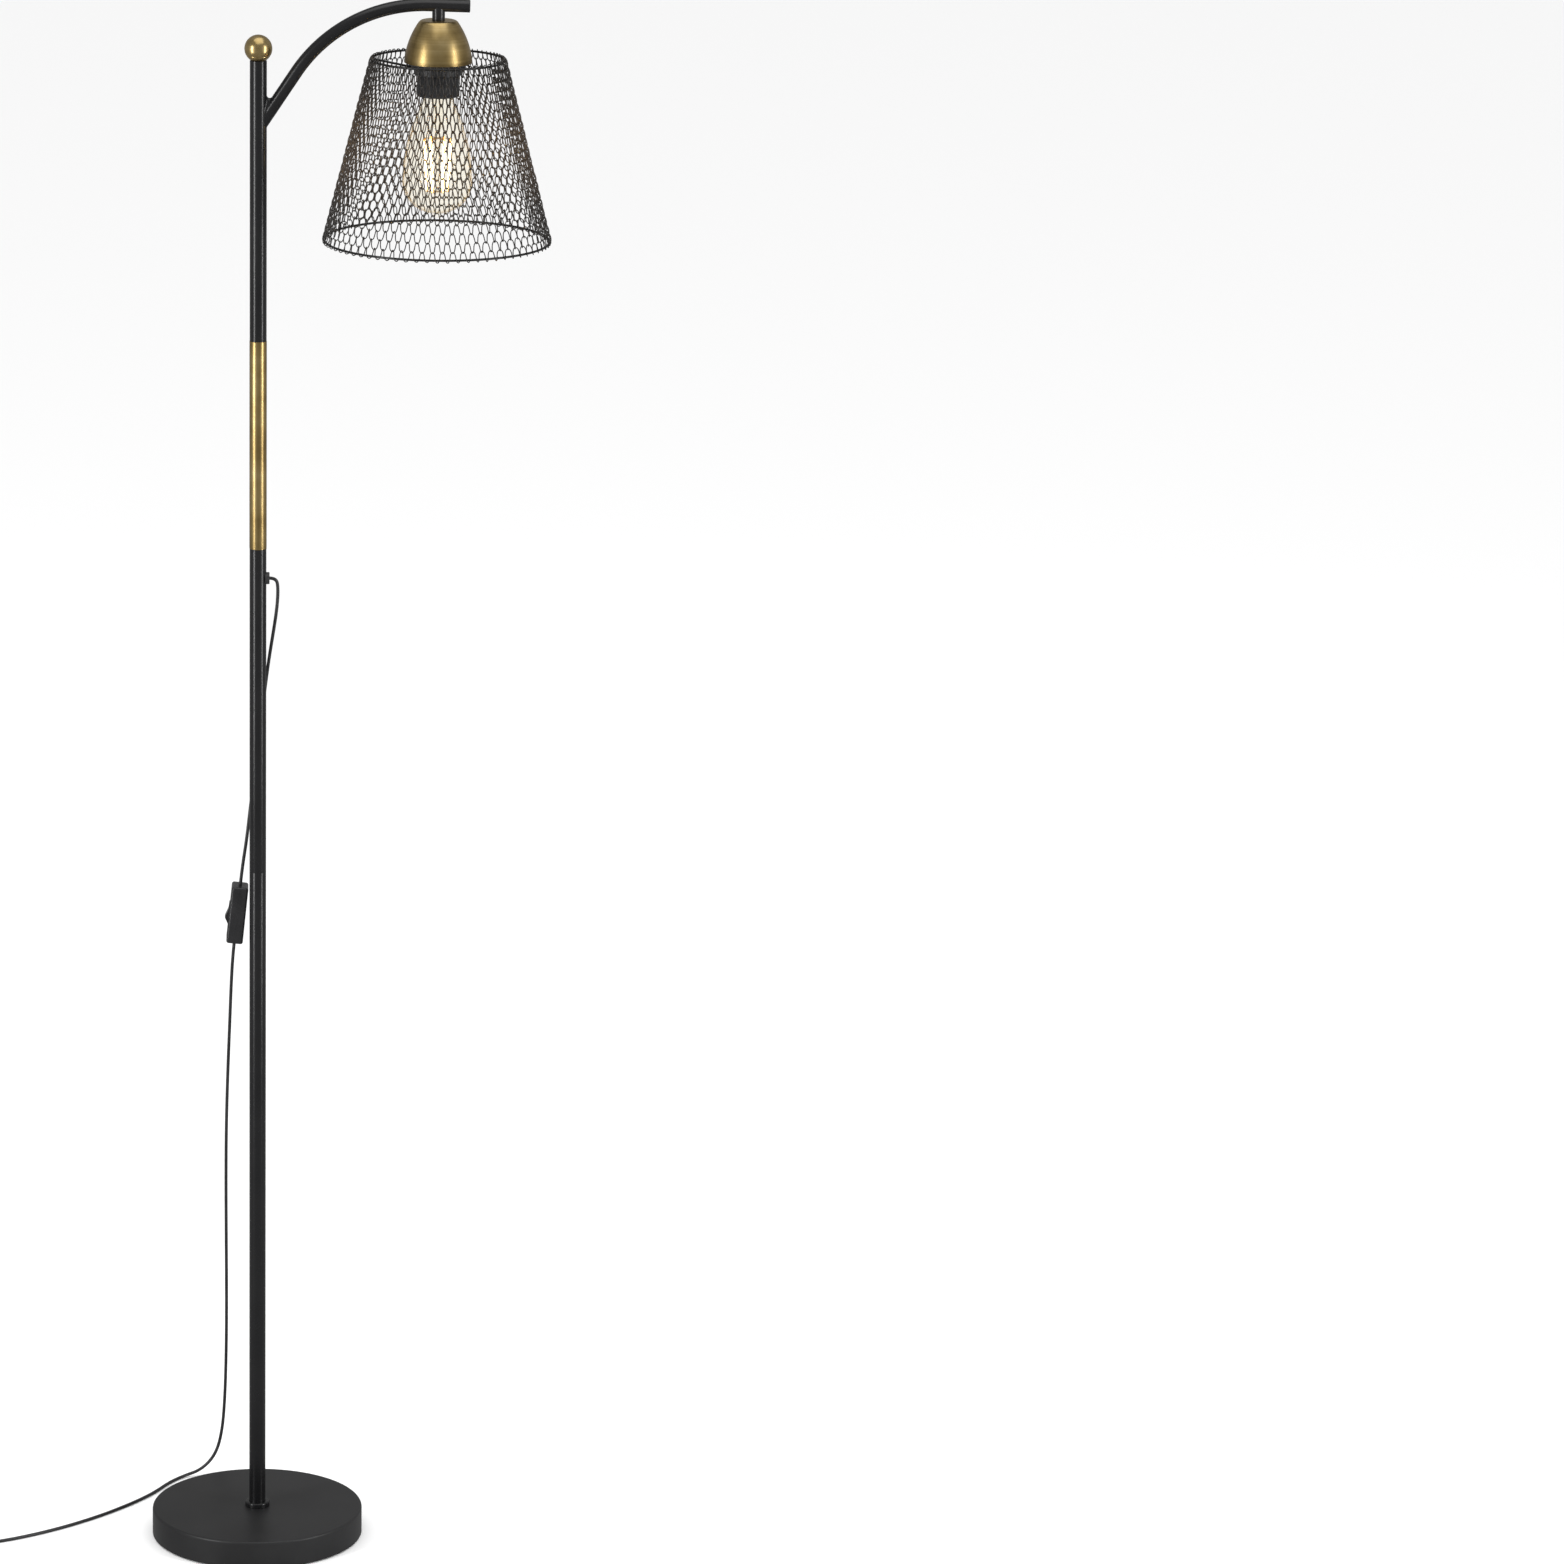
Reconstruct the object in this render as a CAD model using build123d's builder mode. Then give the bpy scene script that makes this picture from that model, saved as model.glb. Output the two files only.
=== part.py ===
from build123d import *
import os
from math import acos, asin, atan2, ceil, cos, degrees, pi, radians, sin, sqrt, tan

# Floor lamp: a weighted disc base, a pole in four screwed sections, a curved side arm and a
# knitted wire cage shade clamped to a threaded lamp holder. Millimetres, +Z up. The origin is
# on the pole's axis at the floor, and the arm reaches out along +X.

os.makedirs("parts", exist_ok=True)

# ---------------------------------------------------------------- driving dimensions

# clearances
slip = 0.05            # radial, between pieces screwed or pressed into one another
running = 0.10         # radial, between pieces that turn or slide
face_gap = 0.15        # between faces of pieces that move apart

# base
base_d = 206.0
base_h = 28.0
cover_t = 1.2
cover_edge_r = 2.6
cover_lift = 1.2       # the cover's rim stays this far off the floor
pad_t = 2.0
weight_side_gap = 0.3
pocket_d = 27.0        # pocket for the nut under the weight
pocket_h = 10.0

# hollow pole threads
nipple_d = 10.0
nipple_bore = 7.0
nipple_len = 34.0
insert_len = 20.0

# fastening under the base
nut_af = 16.0
nut_h = 5.5
washer_d = 24.0
washer_t = 1.5

# pole
pole_d = 16.0
pole_bore = 13.6
brass_d = 16.4
lower_len = 650.0
middle_len = 319.0
brass_len = 201.0
upper_len = 267.0
pole_end_r = 0.9
collar_d = 24.0
collar_h = 5.0
outlet_drop = 29.0     # cord outlet below the top of the middle section

# ball finial
ball_d = 26.3
ball_rise = 10.8       # ball centre over the pole's end
ball_stud_d = 6.0
ball_stud_len = 13.0
ball_bands = 9
ball_ring_w = 0.5

# side arm
arm_d = 12.0
arm_bore = 10.0
arm_root_drop = 64.5   # where the arm's axis meets the pole's axis, below the pole's end
arm_angle = 56.5       # degrees over the horizontal
arm_straight = 64.0
arm_droop = 1.2        # degrees, the end part slopes down by this
arm_overhang = 28.0    # arm past the head's axis
arm_port_d = 7.6
weld_leg = 2.6
end_cap_t = 1.5
end_cap_len = 7.0

# head
head_reach = 168.0     # head's axis from the pole's axis
arm_bend_r = head_reach * 6 / 7
stem_d = 12.0
stem_show = 8.0        # visible stem between arm and cup
stem_cope = 4.2        # the stem reaches this far up round the arm
cup_top_d = 34.4
cup_mid_d = 52.6       # at cup_mid_h below the top
cup_mid_h = 16.1
cup_low_d = 64.2
cup_h = 39.5
cup_t = 1.1
cup_edge = 0.9
cup_bands = 5
head_nipple_len = 22.0
head_nipple_rise = 6.5  # nipple's top over the cup's top
lock_nut_af = 14.0
lock_nut_h = 3.0

# lamp holder
skirt_d = 39.5
skirt_bore = 36.4
skirt_drop = 31.8      # skirt's mouth below the cup's rim
flange_d = 61.0
flange_low_d = 51.0
flange_h = 3.1
dome_low_d = 37.6
dome_top_d = 17.0
dome_rise = 24.0
dome_boss_h = 7.0
dome_t = 1.6
core_d = 34.0
core_floor_t = 6.0
core_drop = 24.0
screw_shell_t = 0.4
terminal_d = 3.5
terminal_head_d = 6.0
terminal_pcd = 21.0
tongue_w = 6.0
tongue_t = 0.5

# shade
shade_top_d = 125.0    # to the middle of the rim's wire
shade_low_d = 215.0
shade_h = 171.5
shade_rise = 2.4       # top rim over the cup's rim
rim_wire_d = 2.2
wire_sides = 8         # sides of a wire's or a cord's section
hub_d = 52.0
hub_t = 1.2
spoke_d = 2.2
spokes = 3
ring_nut_d = 46.0
ring_nut_h = 6.6
ring_nut_notches = 8
ring_nut_notch_w = 6.0
ring_nut_notch_h = 3.0
knit_wire_d = 1.0
knit_columns = 24
knit_rows = 8
knit_strand = 2.2      # width of the strand between two meshes

# bulb
bulb_d = 66.0
bulb_low = 143.5       # bulb's round end below the cup's rim
bulb_dome_h = 30.0
bulb_pip_d = 12.0
bulb_pip_h = 4.0
bulb_neck_d = 25.2
bulb_waist_r = 45.0
bulb_t = 0.9
bulb_bands = 5
cap_d = 26.3
cap_len = 22.0
cap_t = 0.35
cap_shoulder_d = 22.0
cap_shoulder_h = 2.4
button_d = 9.6
button_h = 1.4
insulator_h = 2.2
press_d = 9.0
filaments = 6
filament_d = 1.8
filament_len = 50.0
filament_top_r = 12.4
filament_low_r = 9.8
filament_low = 21.2    # filaments' lower end over the bulb's round end
stalk_d = 4.0

# cord and its outlet
cord_d = 3.2
floor_gap = 0.1        # cord's underside over the floor
grommet_d = 11.6
grommet_out = 3.0      # grommet's head outside the pole
grommet_lip_d = 8.6
outlet_d = 7.0
lead_turn_r = 3.4
lead_fork_r = 26.0
lead_head_r = 5.2

# inline switch
switch_len = 56.8
switch_w = 24.0
switch_t = 16.0
switch_wall = 1.8
switch_edge_r = 2.6
rocker_w = 10.4
rocker_len = 20.8
rocker_pivot = 5.5     # pin's axis from the seam
pin_d = 2.0
pin_len = 15.0
switch_screw_d = 2.6
switch_screw_head_d = 5.0
switch_screw_spread = 40.0
cord_in_switch = 4.0

# put-away coil
coil_mean_r = 18.2
coil_pitch = 3.65
coil_low_turns = 3.0
coil_climb_turns = 0.5
coil_top_turns = 2.5
coil_tail = 12.0

# plug
plug_len = 28.0
plug_w = 24.0
plug_relief_len = 24.0
plug_relief_d = 7.4
blade_w = 6.3
blade_t = 1.5
blade_len = 16.0
blade_gap = 12.7

# ---------------------------------------------------------------- places worked out from them

joint_1_z = base_h + lower_len
joint_2_z = joint_1_z + middle_len
joint_3_z = joint_2_z + brass_len
pole_top_z = joint_3_z + upper_len
outlet_z = joint_2_z - outlet_drop
ball_z = pole_top_z + ball_rise

arm_root_z = pole_top_z - arm_root_drop
arm_turn = arm_angle + arm_droop
arm_corner = arm_straight + arm_bend_r * tan(radians(arm_turn / 2))
arm_corner_x = arm_corner * cos(radians(arm_angle))
arm_corner_z = arm_root_z + arm_corner * sin(radians(arm_angle))
arm_slope = tan(radians(arm_droop))
arm_head_z = arm_corner_z - (head_reach - arm_corner_x) * arm_slope
arm_end_x = head_reach + arm_overhang
arm_end_z = arm_corner_z - (arm_end_x - arm_corner_x) * arm_slope

cup_top_z = arm_head_z - arm_d / 2 - stem_show
cup_low_z = cup_top_z - cup_h
flange_low_z = cup_low_z - flange_h
skirt_low_z = cup_low_z - skirt_drop
hub_top_z = flange_low_z - face_gap
hub_low_z = hub_top_z - hub_t
ring_nut_top_z = hub_low_z - face_gap
ring_nut_low_z = ring_nut_top_z - ring_nut_h
shade_top_z = cup_low_z + shade_rise
shade_low_z = shade_top_z - shade_h

bulb_low_z = cup_low_z - bulb_low
bulb_wide_z = bulb_low_z + bulb_dome_h
cap_top_z = cup_low_z - button_h - insulator_h - 1.0
cap_low_z = cap_top_z - cap_len
button_top_z = cap_top_z + insulator_h + button_h
bulb_neck_z = cap_low_z + 3.0
core_low_z = cup_low_z - core_drop
core_top_z = cup_low_z + core_floor_t


def head_level(z):
    """Horizontal plane on the head's axis at height z."""
    return Plane((head_reach, 0, z))


# the head's profiles lie in a plane through its axis, x outwards and y up
head_profile = Plane((head_reach, 0, 0), x_dir=(1, 0, 0), z_dir=(0, -1, 0))
head_line = Axis((head_reach, 0, 0), (0, 0, 1))

# ---------------------------------------------------------------- base

with BuildPart() as base_pad:
    with BuildSketch(Plane.XY):
        Circle(base_d / 2 - cover_t - 2.0)
    extrude(amount=pad_t)
base_pad.part.label = "base_pad"
export_step(base_pad.part, "parts/base_pad.step")

with BuildPart() as base_weight:
    with BuildSketch(Plane.XY.offset(pad_t)):
        Circle(base_d / 2 - cover_t - weight_side_gap)
        Circle(nipple_d / 2 + slip * 4, mode=Mode.SUBTRACT)
    extrude(amount=base_h - cover_t - pad_t)
    with BuildSketch(Plane.XY.offset(pad_t)):
        Circle(pocket_d / 2)
    extrude(amount=pocket_h, mode=Mode.SUBTRACT)
    chamfer(base_weight.edges().filter_by(GeomType.CIRCLE).group_by(SortBy.RADIUS)[-1], 1.6)
base_weight.part.label = "base_weight"
export_step(base_weight.part, "parts/base_weight.step")

with BuildPart() as base_cover:
    with BuildSketch(Plane.XY.offset(cover_lift)):
        Circle(base_d / 2)
    extrude(amount=base_h - cover_lift)
    fillet(base_cover.edges().group_by(Axis.Z)[-1], cover_edge_r)
    with BuildSketch(Plane.XY.offset(cover_lift)):
        Circle(base_d / 2 - cover_t)
    extrude(amount=base_h - cover_t - cover_lift, mode=Mode.SUBTRACT)
    with BuildSketch(Plane.XY.offset(base_h - cover_t)):
        Circle(nipple_d / 2 + slip * 4)
    extrude(amount=cover_t, mode=Mode.SUBTRACT)
base_cover.part.label = "base_cover"
export_step(base_cover.part, "parts/base_cover.step")

washer_top_z = pad_t + pocket_h
nut_top_z = washer_top_z - washer_t
base_stud_low_z = nut_top_z - nut_h - 0.5

with BuildPart() as base_washer:
    with BuildSketch(Plane.XY.offset(nut_top_z)):
        Circle(washer_d / 2)
        Circle(nipple_d / 2 + slip * 4, mode=Mode.SUBTRACT)
    extrude(amount=washer_t)
base_washer.part.label = "base_washer"
export_step(base_washer.part, "parts/base_washer.step")

with BuildPart() as base_nut:
    with BuildSketch(Plane.XY.offset(nut_top_z - nut_h)):
        RegularPolygon(nut_af / 2, 6, major_radius=False)
        Circle(nipple_d / 2 + slip, mode=Mode.SUBTRACT)
    extrude(amount=nut_h)
base_nut.part.label = "base_nut"
export_step(base_nut.part, "parts/base_nut.step")

with BuildPart() as base_stud:
    with BuildSketch(Plane.XY.offset(base_stud_low_z)):
        Circle(nipple_d / 2)
        Circle(nipple_bore / 2, mode=Mode.SUBTRACT)
    extrude(amount=base_h + insert_len - 2.0 - base_stud_low_z)
base_stud.part.label = "base_stud"
export_step(base_stud.part, "parts/base_stud.step")

# ---------------------------------------------------------------- pole


def tube_section(outer_d, bore_d, low_z, length):
    """One length of pole: a round tube standing on low_z."""
    with Locations((0, 0, low_z + length / 2)):
        Cylinder(outer_d / 2, length)
        Cylinder(bore_d / 2, length, mode=Mode.SUBTRACT)


with BuildPart() as foot_collar:
    tube_section(collar_d, pole_d + 2 * slip, base_h, collar_h)
    chamfer(foot_collar.edges().group_by(Axis.Z)[-1].sort_by(SortBy.RADIUS)[-1], 1.4)
foot_collar.part.label = "foot_collar"
export_step(foot_collar.part, "parts/foot_collar.step")

with BuildPart() as pole_lower:
    tube_section(pole_d, pole_bore, base_h, lower_len)
pole_lower.part.label = "pole_lower"
export_step(pole_lower.part, "parts/pole_lower.step")

outlet_plane = Plane((0, 0, outlet_z), x_dir=(0, 1, 0), z_dir=(1, 0, 0))

with BuildPart() as pole_middle:
    tube_section(pole_d, pole_bore, joint_1_z, middle_len)
    with BuildSketch(outlet_plane):
        Circle(outlet_d / 2 + slip)
    extrude(amount=pole_d, mode=Mode.SUBTRACT)
pole_middle.part.label = "pole_middle"
export_step(pole_middle.part, "parts/pole_middle.step")

with BuildPart() as pole_brass:
    tube_section(brass_d, pole_bore, joint_2_z, brass_len)
pole_brass.part.label = "pole_brass"
export_step(pole_brass.part, "parts/pole_brass.step")

# the arm's plane, x outwards and y up, and its axis where it leaves the pole
arm_plane = Plane.XZ
arm_dir = (cos(radians(arm_angle)), 0, sin(radians(arm_angle)))
arm_root_plane = Plane((0, 0, arm_root_z), x_dir=(0, 1, 0), z_dir=arm_dir)

with BuildPart() as pole_upper:
    tube_section(pole_d, pole_bore, joint_3_z, upper_len)
    fillet(pole_upper.edges().group_by(Axis.Z)[-1].sort_by(SortBy.RADIUS)[-1], pole_end_r)
    with BuildSketch(arm_root_plane):
        Circle(arm_port_d / 2)
    extrude(amount=2 * pole_d, mode=Mode.SUBTRACT)
pole_upper.part.label = "pole_upper"
export_step(pole_upper.part, "parts/pole_upper.step")

# threaded inserts: one in the foot, and one on each side of the three joints
insert_low_zs = [base_h]
for joint_z in (joint_1_z, joint_2_z, joint_3_z):
    insert_low_zs += [joint_z - insert_len, joint_z]

with BuildPart() as pole_inserts:
    for low_z in insert_low_zs:
        tube_section(pole_bore - 2 * slip, nipple_d + 2 * slip, low_z + slip, insert_len - 2 * slip)
pole_inserts.part.label = "pole_inserts"
export_step(pole_inserts.part, "parts/pole_inserts.step")

with BuildPart() as pole_nipples:
    for joint_z in (joint_1_z, joint_2_z, joint_3_z):
        tube_section(nipple_d, nipple_bore, joint_z - nipple_len / 2, nipple_len)
pole_nipples.part.label = "pole_nipples"
export_step(pole_nipples.part, "parts/pole_nipples.step")

# ---------------------------------------------------------------- finial

plug_top_z = pole_top_z - 0.4

with BuildPart() as top_plug:
    tube_section(pole_bore - 2 * slip, ball_stud_d + 2 * slip, plug_top_z - insert_len, insert_len)
top_plug.part.label = "top_plug"
export_step(top_plug.part, "parts/top_plug.step")

ball_seat_r = sqrt((ball_d / 2) ** 2 - ball_rise ** 2)
ball_seat_turn = atan2(-ball_rise, ball_seat_r)
ball_step = (pi / 2 - ball_seat_turn) / ball_bands
ball_turns = [ball_seat_turn + ball_step * i for i in range(ball_bands)]

with BuildPart() as finial_ball:
    with BuildSketch(Plane.XZ):
        Polygon(
            (0, pole_top_z),
            *((ball_d / 2 * cos(turn), ball_z + ball_d / 2 * sin(turn)) for turn in ball_turns),
            (0, ball_z + ball_d / 2),
            align=None,
        )
    revolve(axis=Axis.Z)
    with BuildSketch(Plane.XY.offset(pole_top_z)):
        Circle(ball_stud_d / 2)
    extrude(amount=-ball_stud_len)
    # turned ring round the foot of the ball
    with BuildSketch(Plane.XY.offset(pole_top_z + 4.1)):
        Circle(ball_d / 2)
        Circle(ball_d / 2 - 2.1, mode=Mode.SUBTRACT)
    extrude(amount=ball_ring_w, mode=Mode.SUBTRACT)
finial_ball.part.label = "finial_ball"
export_step(finial_ball.part, "parts/finial_ball.step")

# ---------------------------------------------------------------- side arm

with BuildPart() as arm_tube:
    with BuildLine(arm_plane) as arm_line:
        FilletPolyline(
            (0, arm_root_z),
            (arm_corner_x, arm_corner_z),
            (arm_end_x, arm_end_z),
            radius=arm_bend_r,
        )
    with BuildSketch(arm_root_plane):
        Circle(arm_d / 2)
    sweep(path=arm_line.line)
    with BuildSketch(arm_root_plane):
        Circle(arm_bore / 2)
    sweep(path=arm_line.line, mode=Mode.SUBTRACT)
    with BuildSketch(Plane.XY.offset(arm_root_z - arm_d)):
        Circle(pole_d / 2 + slip)
    extrude(amount=4 * arm_d, mode=Mode.SUBTRACT)
    # the port under the head that the lead comes down through
    with BuildSketch(head_level(arm_head_z)):
        Circle(arm_port_d / 2)
    extrude(amount=-arm_d, mode=Mode.SUBTRACT)
arm_tube.part.label = "arm_tube"
export_step(arm_tube.part, "parts/arm_tube.step")

# weld bead: what a rounded fillet between pole and arm adds to the two tubes
with BuildPart() as arm_weld:
    with BuildSketch(Plane.XY.offset(arm_root_z - 2 * arm_d)):
        Circle(pole_d / 2)
    extrude(amount=5 * arm_d)
    with BuildSketch(arm_root_plane):
        Circle(arm_d / 2)
    extrude(amount=4 * arm_d)
    seam = arm_weld.edges().filter_by(GeomType.CIRCLE, reverse=True).filter_by(GeomType.LINE, reverse=True)
    fillet(seam, weld_leg)
    with BuildSketch(Plane.XY.offset(arm_root_z - 2 * arm_d)):
        Circle(pole_d / 2 + slip)
    extrude(amount=5 * arm_d, mode=Mode.SUBTRACT)
    with BuildSketch(arm_root_plane):
        Circle(arm_d / 2 + slip)
    extrude(amount=5 * arm_d, mode=Mode.SUBTRACT)
arm_weld.part.label = "arm_weld"
export_step(arm_weld.part, "parts/arm_weld.step")

arm_end_plane = Plane(
    (arm_end_x, 0, arm_end_z),
    x_dir=(0, 1, 0),
    z_dir=(cos(radians(arm_droop)), 0, -sin(radians(arm_droop))),
)

with BuildPart() as arm_end_cap:
    with BuildSketch(arm_end_plane):
        Circle(arm_d / 2)
    extrude(amount=end_cap_t)
    fillet(arm_end_cap.edges().group_by(Axis.X)[-1], 0.6)
    with BuildSketch(arm_end_plane):
        Circle(arm_bore / 2 - slip)
    extrude(amount=-end_cap_len)
arm_end_cap.part.label = "arm_end_cap"
export_step(arm_end_cap.part, "parts/arm_end_cap.step")

with BuildPart() as head_stem:
    with BuildSketch(head_level(cup_top_z)):
        Circle(stem_d / 2)
        Circle(nipple_d / 2 + slip, mode=Mode.SUBTRACT)
    extrude(amount=stem_show + stem_cope)
    # coped to sit on the arm's underside, its thin edges cut away
    with BuildSketch(arm_end_plane):
        Circle(arm_d / 2 + slip)
    extrude(amount=-2 * arm_overhang, mode=Mode.SUBTRACT)
head_stem.part.label = "head_stem"
export_step(head_stem.part, "parts/head_stem.step")

# ---------------------------------------------------------------- cup and lamp holder


def three_point_centre(a, b, c):
    """Centre of the circle through three points of the profile plane."""
    d = 2 * (a[0] * (b[1] - c[1]) + b[0] * (c[1] - a[1]) + c[0] * (a[1] - b[1]))
    a2, b2, c2 = (p[0] ** 2 + p[1] ** 2 for p in (a, b, c))
    x = (a2 * (b[1] - c[1]) + b2 * (c[1] - a[1]) + c2 * (a[1] - b[1])) / d
    y = (a2 * (c[0] - b[0]) + b2 * (a[0] - c[0]) + c2 * (b[0] - a[0])) / d
    return x, y


# the cup's side is one arc through three measured radii; its inside is the same arc, inset
cup_points = (
    (cup_top_d / 2, cup_top_z),
    (cup_mid_d / 2, cup_top_z - cup_mid_h),
    (cup_low_d / 2, cup_low_z),
)
cup_cx, cup_cz = three_point_centre(*cup_points)
cup_side_r = sqrt((cup_points[0][0] - cup_cx) ** 2 + (cup_points[0][1] - cup_cz) ** 2)


def cup_radius(z, inset=0.0):
    """Radius of the cup's side at height z, inset by a wall."""
    return cup_cx + sqrt((cup_side_r - inset) ** 2 - (z - cup_cz) ** 2)


def cup_side(top_z, inset):
    """Points up the cup's side, which is pressed in a few straight bands along its arc."""
    step = (top_z - cup_low_z) / cup_bands
    levels = [cup_low_z + step * i for i in range(cup_bands + 1)]
    return [(cup_radius(z, inset), z) for z in levels]


with BuildPart() as socket_cup:
    with BuildSketch(head_profile):
        Polygon(*cup_side(cup_top_z, 0.0), (0, cup_top_z), (0, cup_low_z), align=None)
    revolve(axis=head_line)
    chamfer(socket_cup.edges().group_by(Axis.Z)[-1], cup_edge)
    with BuildSketch(head_profile):
        inside = cup_side(cup_top_z - cup_t, cup_t)
        Polygon(*inside, (0, cup_top_z - cup_t), (0, cup_low_z), align=None)
    revolve(axis=head_line, mode=Mode.SUBTRACT)
    with BuildSketch(head_level(cup_top_z)):
        Circle(nipple_d / 2 + slip * 2)
    extrude(amount=-2 * cup_t, mode=Mode.SUBTRACT)
socket_cup.part.label = "socket_cup"
export_step(socket_cup.part, "parts/socket_cup.step")

head_nipple_top_z = cup_top_z + head_nipple_rise
head_nipple_low_z = head_nipple_top_z - head_nipple_len

with BuildPart() as head_nipple:
    with BuildSketch(head_level(head_nipple_low_z)):
        Circle(nipple_d / 2)
        Circle(nipple_bore / 2, mode=Mode.SUBTRACT)
    extrude(amount=head_nipple_len)
head_nipple.part.label = "head_nipple"
export_step(head_nipple.part, "parts/head_nipple.step")

with BuildPart() as head_lock_nut:
    with BuildSketch(head_level(cup_top_z - cup_t - lock_nut_h)):
        RegularPolygon(lock_nut_af / 2, 6, major_radius=False)
        Circle(nipple_d / 2 + slip, mode=Mode.SUBTRACT)
    extrude(amount=lock_nut_h)
head_lock_nut.part.label = "head_lock_nut"
export_step(head_lock_nut.part, "parts/head_lock_nut.step")

dome_top_z = cup_low_z + dome_rise
boss_top_z = min(dome_top_z + dome_boss_h, cup_top_z - cup_t - lock_nut_h)


def dome_corners(inset):
    """Corners of the half profile of the holder's dome, closed along its axis."""
    low_r = dome_low_d / 2 - inset
    top_r = dome_top_d / 2 - inset
    top_z = dome_top_z - inset
    shoulder_z = cup_low_z + 0.45 * (top_z - cup_low_z)
    return [(0, cup_low_z), (low_r, cup_low_z), (low_r, shoulder_z), (top_r, top_z), (0, top_z)]


with BuildPart() as holder_dome:
    with BuildSketch(head_profile):
        Polygon(*dome_corners(0.0), align=None)
    revolve(axis=head_line)
    with BuildSketch(head_level(dome_top_z)):
        Circle(dome_top_d / 2)
    extrude(amount=boss_top_z - dome_top_z)
    with BuildSketch(head_profile):
        Polygon(*dome_corners(dome_t), align=None)
    revolve(axis=head_line, mode=Mode.SUBTRACT)
    with BuildSketch(head_level(boss_top_z)):
        Circle(nipple_d / 2 + slip)
    extrude(amount=-2 * dome_boss_h, mode=Mode.SUBTRACT)
holder_dome.part.label = "holder_dome"
export_step(holder_dome.part, "parts/holder_dome.step")

with BuildPart() as holder_skirt:
    with BuildSketch(head_profile):
        with BuildLine():
            Polyline(
                (skirt_bore / 2, skirt_low_z),
                (skirt_d / 2 - 0.5, skirt_low_z),
                (skirt_d / 2, skirt_low_z + 0.5),
                (skirt_d / 2, flange_low_z),
                (flange_low_d / 2, flange_low_z),
                (flange_d / 2, cup_low_z - 0.8),
                (flange_d / 2, cup_low_z),
                (skirt_bore / 2, cup_low_z),
                close=True,
            )
        make_face()
    revolve(axis=head_line)
holder_skirt.part.label = "holder_skirt"
export_step(holder_skirt.part, "parts/holder_skirt.step")

# the core fills the skirt's top: a floor for the contacts and a wall round the screw shell
shell_r = cap_d / 2 + running
core_bore_r = shell_r + screw_shell_t + slip

with BuildPart() as holder_core:
    with BuildSketch(head_level(core_low_z)):
        Circle(core_d / 2)
        Circle(core_bore_r, mode=Mode.SUBTRACT)
    extrude(amount=cup_low_z - core_low_z)
    with BuildSketch(head_level(cup_low_z)):
        Circle(core_d / 2)
    extrude(amount=core_floor_t)
    with BuildSketch(head_level(core_top_z)):
        with PolarLocations(terminal_pcd / 2, 2):
            Circle(terminal_d / 2 + slip)
    extrude(amount=-core_floor_t, mode=Mode.SUBTRACT)
holder_core.part.label = "holder_core"
export_step(holder_core.part, "parts/holder_core.step")

with BuildPart() as screw_shell:
    with BuildSketch(head_level(core_low_z)):
        Circle(shell_r + screw_shell_t)
        Circle(shell_r, mode=Mode.SUBTRACT)
    extrude(amount=cup_low_z - core_low_z)
screw_shell.part.label = "screw_shell"
export_step(screw_shell.part, "parts/screw_shell.step")

# the tongue is riveted to the core's floor and reaches down towards the bulb's button
tongue_low_z = button_top_z + face_gap

with BuildPart() as centre_contact:
    with BuildSketch(head_level(tongue_low_z)):
        Rectangle(button_d, tongue_w)
    extrude(amount=tongue_t)
    with BuildSketch(head_level(tongue_low_z + tongue_t)):
        with Locations((button_d / 2 - tongue_t / 2, 0)):
            Rectangle(tongue_t, tongue_w)
    extrude(amount=cup_low_z - tongue_low_z - tongue_t)
centre_contact.part.label = "centre_contact"
export_step(centre_contact.part, "parts/centre_contact.step")

with BuildPart() as terminal_screws:
    with BuildSketch(head_level(core_top_z)):
        with PolarLocations(terminal_pcd / 2, 2):
            Circle(terminal_head_d / 2)
    extrude(amount=2.2)
    with BuildSketch(head_level(core_top_z)):
        with PolarLocations(terminal_pcd / 2, 2):
            Circle(terminal_d / 2)
    extrude(amount=-core_floor_t + 0.6)
terminal_screws.part.label = "terminal_screws"
export_step(terminal_screws.part, "parts/terminal_screws.step")

# ---------------------------------------------------------------- shade

hub_bore_r = skirt_d / 2 + 3 * running

with BuildPart() as ring_nut:
    with BuildSketch(head_level(ring_nut_low_z)):
        Circle(ring_nut_d / 2)
        Circle(skirt_d / 2 + running, mode=Mode.SUBTRACT)
    extrude(amount=ring_nut_h)
    chamfer(ring_nut.edges().group_by(Axis.Z)[-1].sort_by(SortBy.RADIUS)[-1], 0.8)
    # finger notches round the lower edge
    with BuildSketch(head_level(ring_nut_low_z)):
        with PolarLocations(ring_nut_d / 2, ring_nut_notches):
            Rectangle(2.4, ring_nut_notch_w)
    extrude(amount=ring_nut_notch_h, mode=Mode.SUBTRACT)
ring_nut.part.label = "ring_nut"
export_step(ring_nut.part, "parts/ring_nut.step")


# both rims are wire rings, drawn with a many-sided section
with BuildPart() as shade_top_ring:
    with BuildSketch(head_profile):
        with Locations((shade_top_d / 2, shade_top_z)):
            RegularPolygon(rim_wire_d / 2, wire_sides)
    revolve(axis=head_line)
shade_top_ring.part.label = "shade_top_ring"
export_step(shade_top_ring.part, "parts/shade_top_ring.step")

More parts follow.
